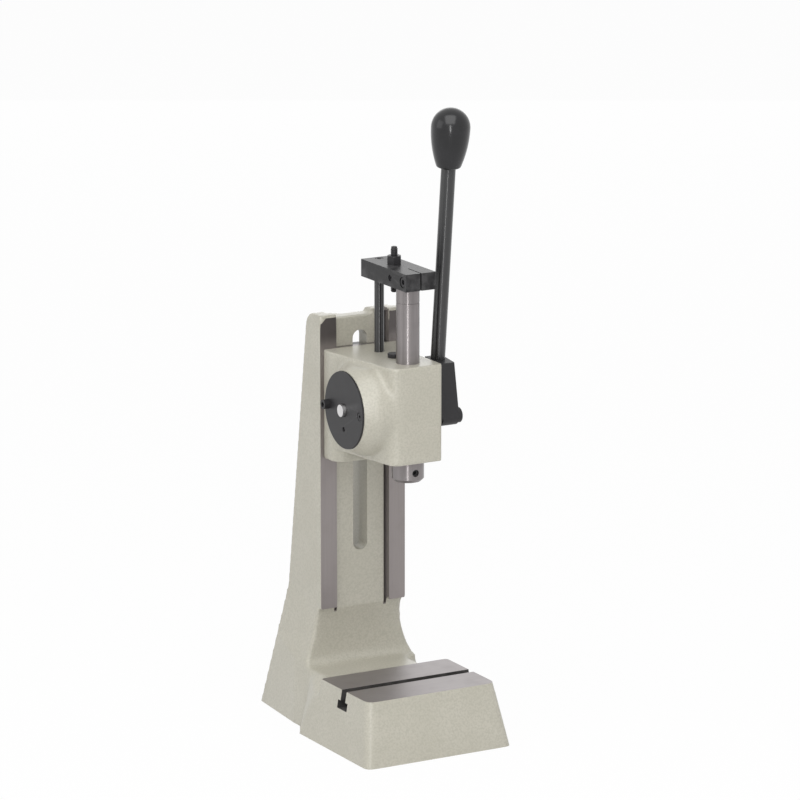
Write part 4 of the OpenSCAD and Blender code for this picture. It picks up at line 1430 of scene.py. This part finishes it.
@dataclass
class Fittings:
    """Machined pieces, which keep their CAD shape and get broken edges."""

    items: list[Fitting] = field(default_factory=lambda: [
        Fitting("spring_cover", Body.HEAD, "black_steel", "black", 0.5),
        Fitting("spring_anchor_screw", Body.HEAD, "black_steel", "black", 0.45),
        Fitting("cover_screw", Body.HEAD, "black_steel", "black", 0.15),
        Fitting("stop_pad", Body.HEAD, "black_steel", "black", 0.5),
        Fitting("clamp_plate", Body.HEAD, "black_steel", "black_milled", 0.7),
        Fitting("clamp_bolts", Body.HEAD, "black_steel", "black", 0.5),
        Fitting("clamp_washers", Body.HEAD, "bright_steel", "turned", 0.25),
        Fitting("drive_disc", Body.LEVER, "black_steel", "black", 0.7),
        Fitting("lever_hub", Body.LEVER, "black_steel", "black", 0.8),
        Fitting("lever_lock_screw", Body.LEVER, "black_steel", "black", 0.5),
        Fitting("shaft_end_washer", Body.LEVER, "bright_steel", "turned", 0.25),
        Fitting("shaft_end_screw", Body.LEVER, "black_steel", "black", 0.4),
        Fitting("lever_rod", Body.LEVER, "black_steel", "black_rod", 0.5),
        Fitting("pinion_shaft", Body.LEVER, "bright_steel", "bright", 0.4),
        Fitting("ram", Body.RAM, "bright_steel", "ram", 0.2),
        Fitting("tool_collar", Body.RAM, "bright_steel", "ram", 0.35),
        Fitting("tool_set_screw", Body.RAM, "black_steel", "black", 0.15),
        Fitting("stop_plate", Body.RAM, "black_steel", "black_milled", 0.45),
        Fitting("plate_clamp_screw", Body.RAM, "black_steel", "black", 0.25),
        Fitting("plate_set_screw", Body.RAM, "black_steel", "black", 0.12),
        Fitting("guide_rod", Body.RAM, "black_steel", "black_rod", 0.4),
        Fitting("guide_rod_screw", Body.RAM, "black_steel", "black", 0.2),
        Fitting("stop_lock_nut", Body.RAM, "black_steel", "black", 0.3),
    ])
    kept: dict[str, str] = field(default_factory=lambda: {
        "pinion_gear": "turned", "pinion_pin": "turned", "drive_key": "turned", "return_spring": "turned",
        "pinion_bush_left": "bronze", "pinion_bush_right": "bronze", "knob_insert": "bronze",
    })
    weld: float = 0.002
    flat_angle: float = 0.6
    shade_angle: float = 42

    def soften(self, item: Fitting, source: bpy.types.Object) -> bpy.types.Object:
        """Copies a CAD node and breaks its edges.

        Args:
            item: the fitting.
            source: the CAD node's object.

        Returns:
            The new piece.
        """
        bm = bmesh.new()
        bm.from_mesh(source.data)
        bmesh.ops.transform(bm, matrix=source.matrix_world, verts=bm.verts)
        bmesh.ops.remove_doubles(bm, verts=bm.verts, dist=self.weld * MM)
        flat = math.radians(self.flat_angle)
        bmesh.ops.dissolve_limit(bm, angle_limit=flat, verts=bm.verts, edges=bm.edges)
        sharp = [e for e in bm.edges if e.is_manifold and e.calc_face_angle() > math.radians(item.angle)]
        Workshop.break_edges(bm, sharp, item.edge, 3)
        return Workshop.lay(bm, item.node + "_finished")

    def build(self, finishes: Finishes, fitter: Fitter, frame: dict) -> None:
        """Builds and dresses the fittings, and dresses the pieces that stay hidden inside.

        Args:
            finishes: the finishes of the press.
            fitter: puts the pieces in place.
            frame: the loaded frame.
        """
        for item in self.items:
            piece = self.soften(item, fitter.node_object(item.node, frame))
            Workshop.dress(piece, getattr(finishes, item.finish))
            Workshop.shade(piece, self.shade_angle)
            piece.modifiers.new("flat_faces", "WEIGHTED_NORMAL").keep_sharp = True
            fitter.fit(piece, item.body, item.slot, item.node)
        for node, finish in self.kept.items():
            source = fitter.node_object(node, frame)
            source.data.materials.clear()
            source.data.materials.append(getattr(finishes, finish))
            LOG.info("%s keeps its CAD shape", node)


@dataclass(frozen=True)
class SoftBox:
    """A soft lamp: its place in metres, the width and height of its face, and its power in watts."""

    name: str
    place: Point3
    width: float
    height: float
    power: float


@dataclass
class Studio:
    """Pale floor, soft light and the photograph's camera, set up in metres."""

    camera_place: Point3 = (-1.8938, -3.3414, 1.2009)
    camera_tilt: float = 13.346
    camera_turn: float = -29.449
    lens: float = 218.3
    sensor: float = 36
    clip: float = 100
    ambient: float = 0.56
    floor_half_w: float = 6
    floor_grey: float = 0.86
    floor_white: float = 0.95
    aim: Point3 = (0, 0.04, 0.25)
    boxes: tuple[SoftBox, ...] = (
        SoftBox("front_box", (-0.64, -1.12, 0.5), 0.09, 0.95, 3.9),
        SoftBox("left_box", (-2.3, 0.5, 1.2), 1.6, 1.6, 7),
        SoftBox("top_box", (-0.7, -1.1, 2.4), 2.4, 2.4, 38),
        SoftBox("back_box", (1.45, 2.6, 0.75), 2.2, 2.2, 9),
    )

    @staticmethod
    def seen(sheet: NodeSheet) -> Wire:
        """Gives 1 for what the camera sees straight, in a reflection or through glass.

        Args:
            sheet: the node tree that gets the nodes.

        Returns:
            A value of 0 or 1.
        """
        kinds = ("Camera", "Glossy", "Transmission")
        straight, mirrored, through = (sheet.add("ShaderNodeLightPath", output=f"Is {k} Ray") for k in kinds)
        clamped = {"operation": "ADD", "use_clamp": True}
        return sheet.add("ShaderNodeMath", clamped, {0: straight + mirrored, 1: through})

    def sky(self) -> None:
        """Makes an even white sky, seen white by the camera and in reflections."""
        world = bpy.data.worlds.new("studio_sky")
        world.use_nodes = True
        bpy.context.scene.world = world
        sheet = NodeSheet(world.node_tree)
        seen = self.seen(sheet)
        dim = sheet.add("ShaderNodeBackground", None, {"Color": (1, 1, 1, 1), "Strength": self.ambient})
        white = sheet.add("ShaderNodeBackground", None, {"Color": (1, 1, 1, 1), "Strength": 1.0})
        mixed = sheet.add("ShaderNodeMixShader", None, {0: seen, 1: dim, 2: white})
        sheet.add("ShaderNodeOutputWorld", None, {"Surface": mixed})

    def floor(self) -> None:
        """Makes a pale floor that keeps a faint shadow."""
        bm = bmesh.new()
        bmesh.ops.create_grid(bm, x_segments=1, y_segments=1, size=self.floor_half_w)
        piece = Workshop.lay(bm, "studio_floor")
        material, sheet = new_material("studio_floor")
        seen = self.seen(sheet)
        grey = self.floor_grey
        matt = sheet.add("ShaderNodeBsdfDiffuse", None, {"Color": (grey, grey, grey, 1)})
        white = sheet.add("ShaderNodeEmission", None, {"Color": (1, 1, 1, 1), "Strength": 1.0})
        sheet.finish(sheet.add("ShaderNodeMixShader", None, {0: seen * self.floor_white, 1: matt, 2: white}))
        piece.data.materials.append(material)

    def hang(self, box: SoftBox) -> None:
        """Hangs a soft lamp that faces the press.

        Args:
            box: the lamp.
        """
        light = bpy.data.lights.new(box.name, "AREA")
        light.shape = "RECTANGLE"
        light.size = box.width
        light.size_y = box.height
        light.energy = box.power
        lamp = bpy.data.objects.new(box.name, light)
        lamp.location = box.place
        lamp.visible_camera = False
        lamp.rotation_euler = (Vector(self.aim) - Vector(box.place)).to_track_quat("-Z", "Y").to_euler()
        bpy.context.scene.collection.objects.link(lamp)

    def camera(self) -> None:
        """Sets up the camera at the photograph's angle."""
        data = bpy.data.cameras.new("photo_camera")
        data.lens = self.lens
        data.sensor_width = self.sensor
        data.clip_end = self.clip
        camera = bpy.data.objects.new("photo_camera", data)
        camera.location = self.camera_place
        camera.rotation_euler = (math.radians(90 - self.camera_tilt), 0, math.radians(self.camera_turn))
        bpy.context.scene.collection.objects.link(camera)
        bpy.context.scene.camera = camera

    def build(self) -> None:
        """Sets up the whole studio."""
        bpy.context.scene.view_settings.view_transform = "Standard"
        self.camera()
        self.sky()
        self.floor()
        for box in self.boxes:
            self.hang(box)


def arc(centre: Vector, radius: float, start: float, end: float, steps: int) -> list[Point2]:
    """Gives the points of a circular arc.

    Args:
        centre: the arc's centre.
        radius: its radius.
        start: its first angle in radians.
        end: its last angle in radians.
        steps: number of chords.

    Returns:
        The points, ends included.
    """
    angles = [start + (end - start) * i / steps for i in range(steps + 1)]
    return [(centre[0] + radius * math.cos(a), centre[1] + radius * math.sin(a)) for a in angles]


def main() -> None:
    """Builds the press in its studio."""
    logging.basicConfig(level=logging.INFO, format="%(name)s: %(message)s")
    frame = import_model()
    finishes, fitter = Finishes(), Fitter()
    Studio().build()
    FrameCasting().build(finishes, fitter)
    HeadCasting().build(finishes, fitter)
    LeverKnob().build(finishes, fitter)
    StopScrew().build(finishes, fitter)
    Fittings().build(finishes, fitter, frame)
    LOG.info("%d finished pieces", fitter.count)


if __name__ == "__main__":
    main()
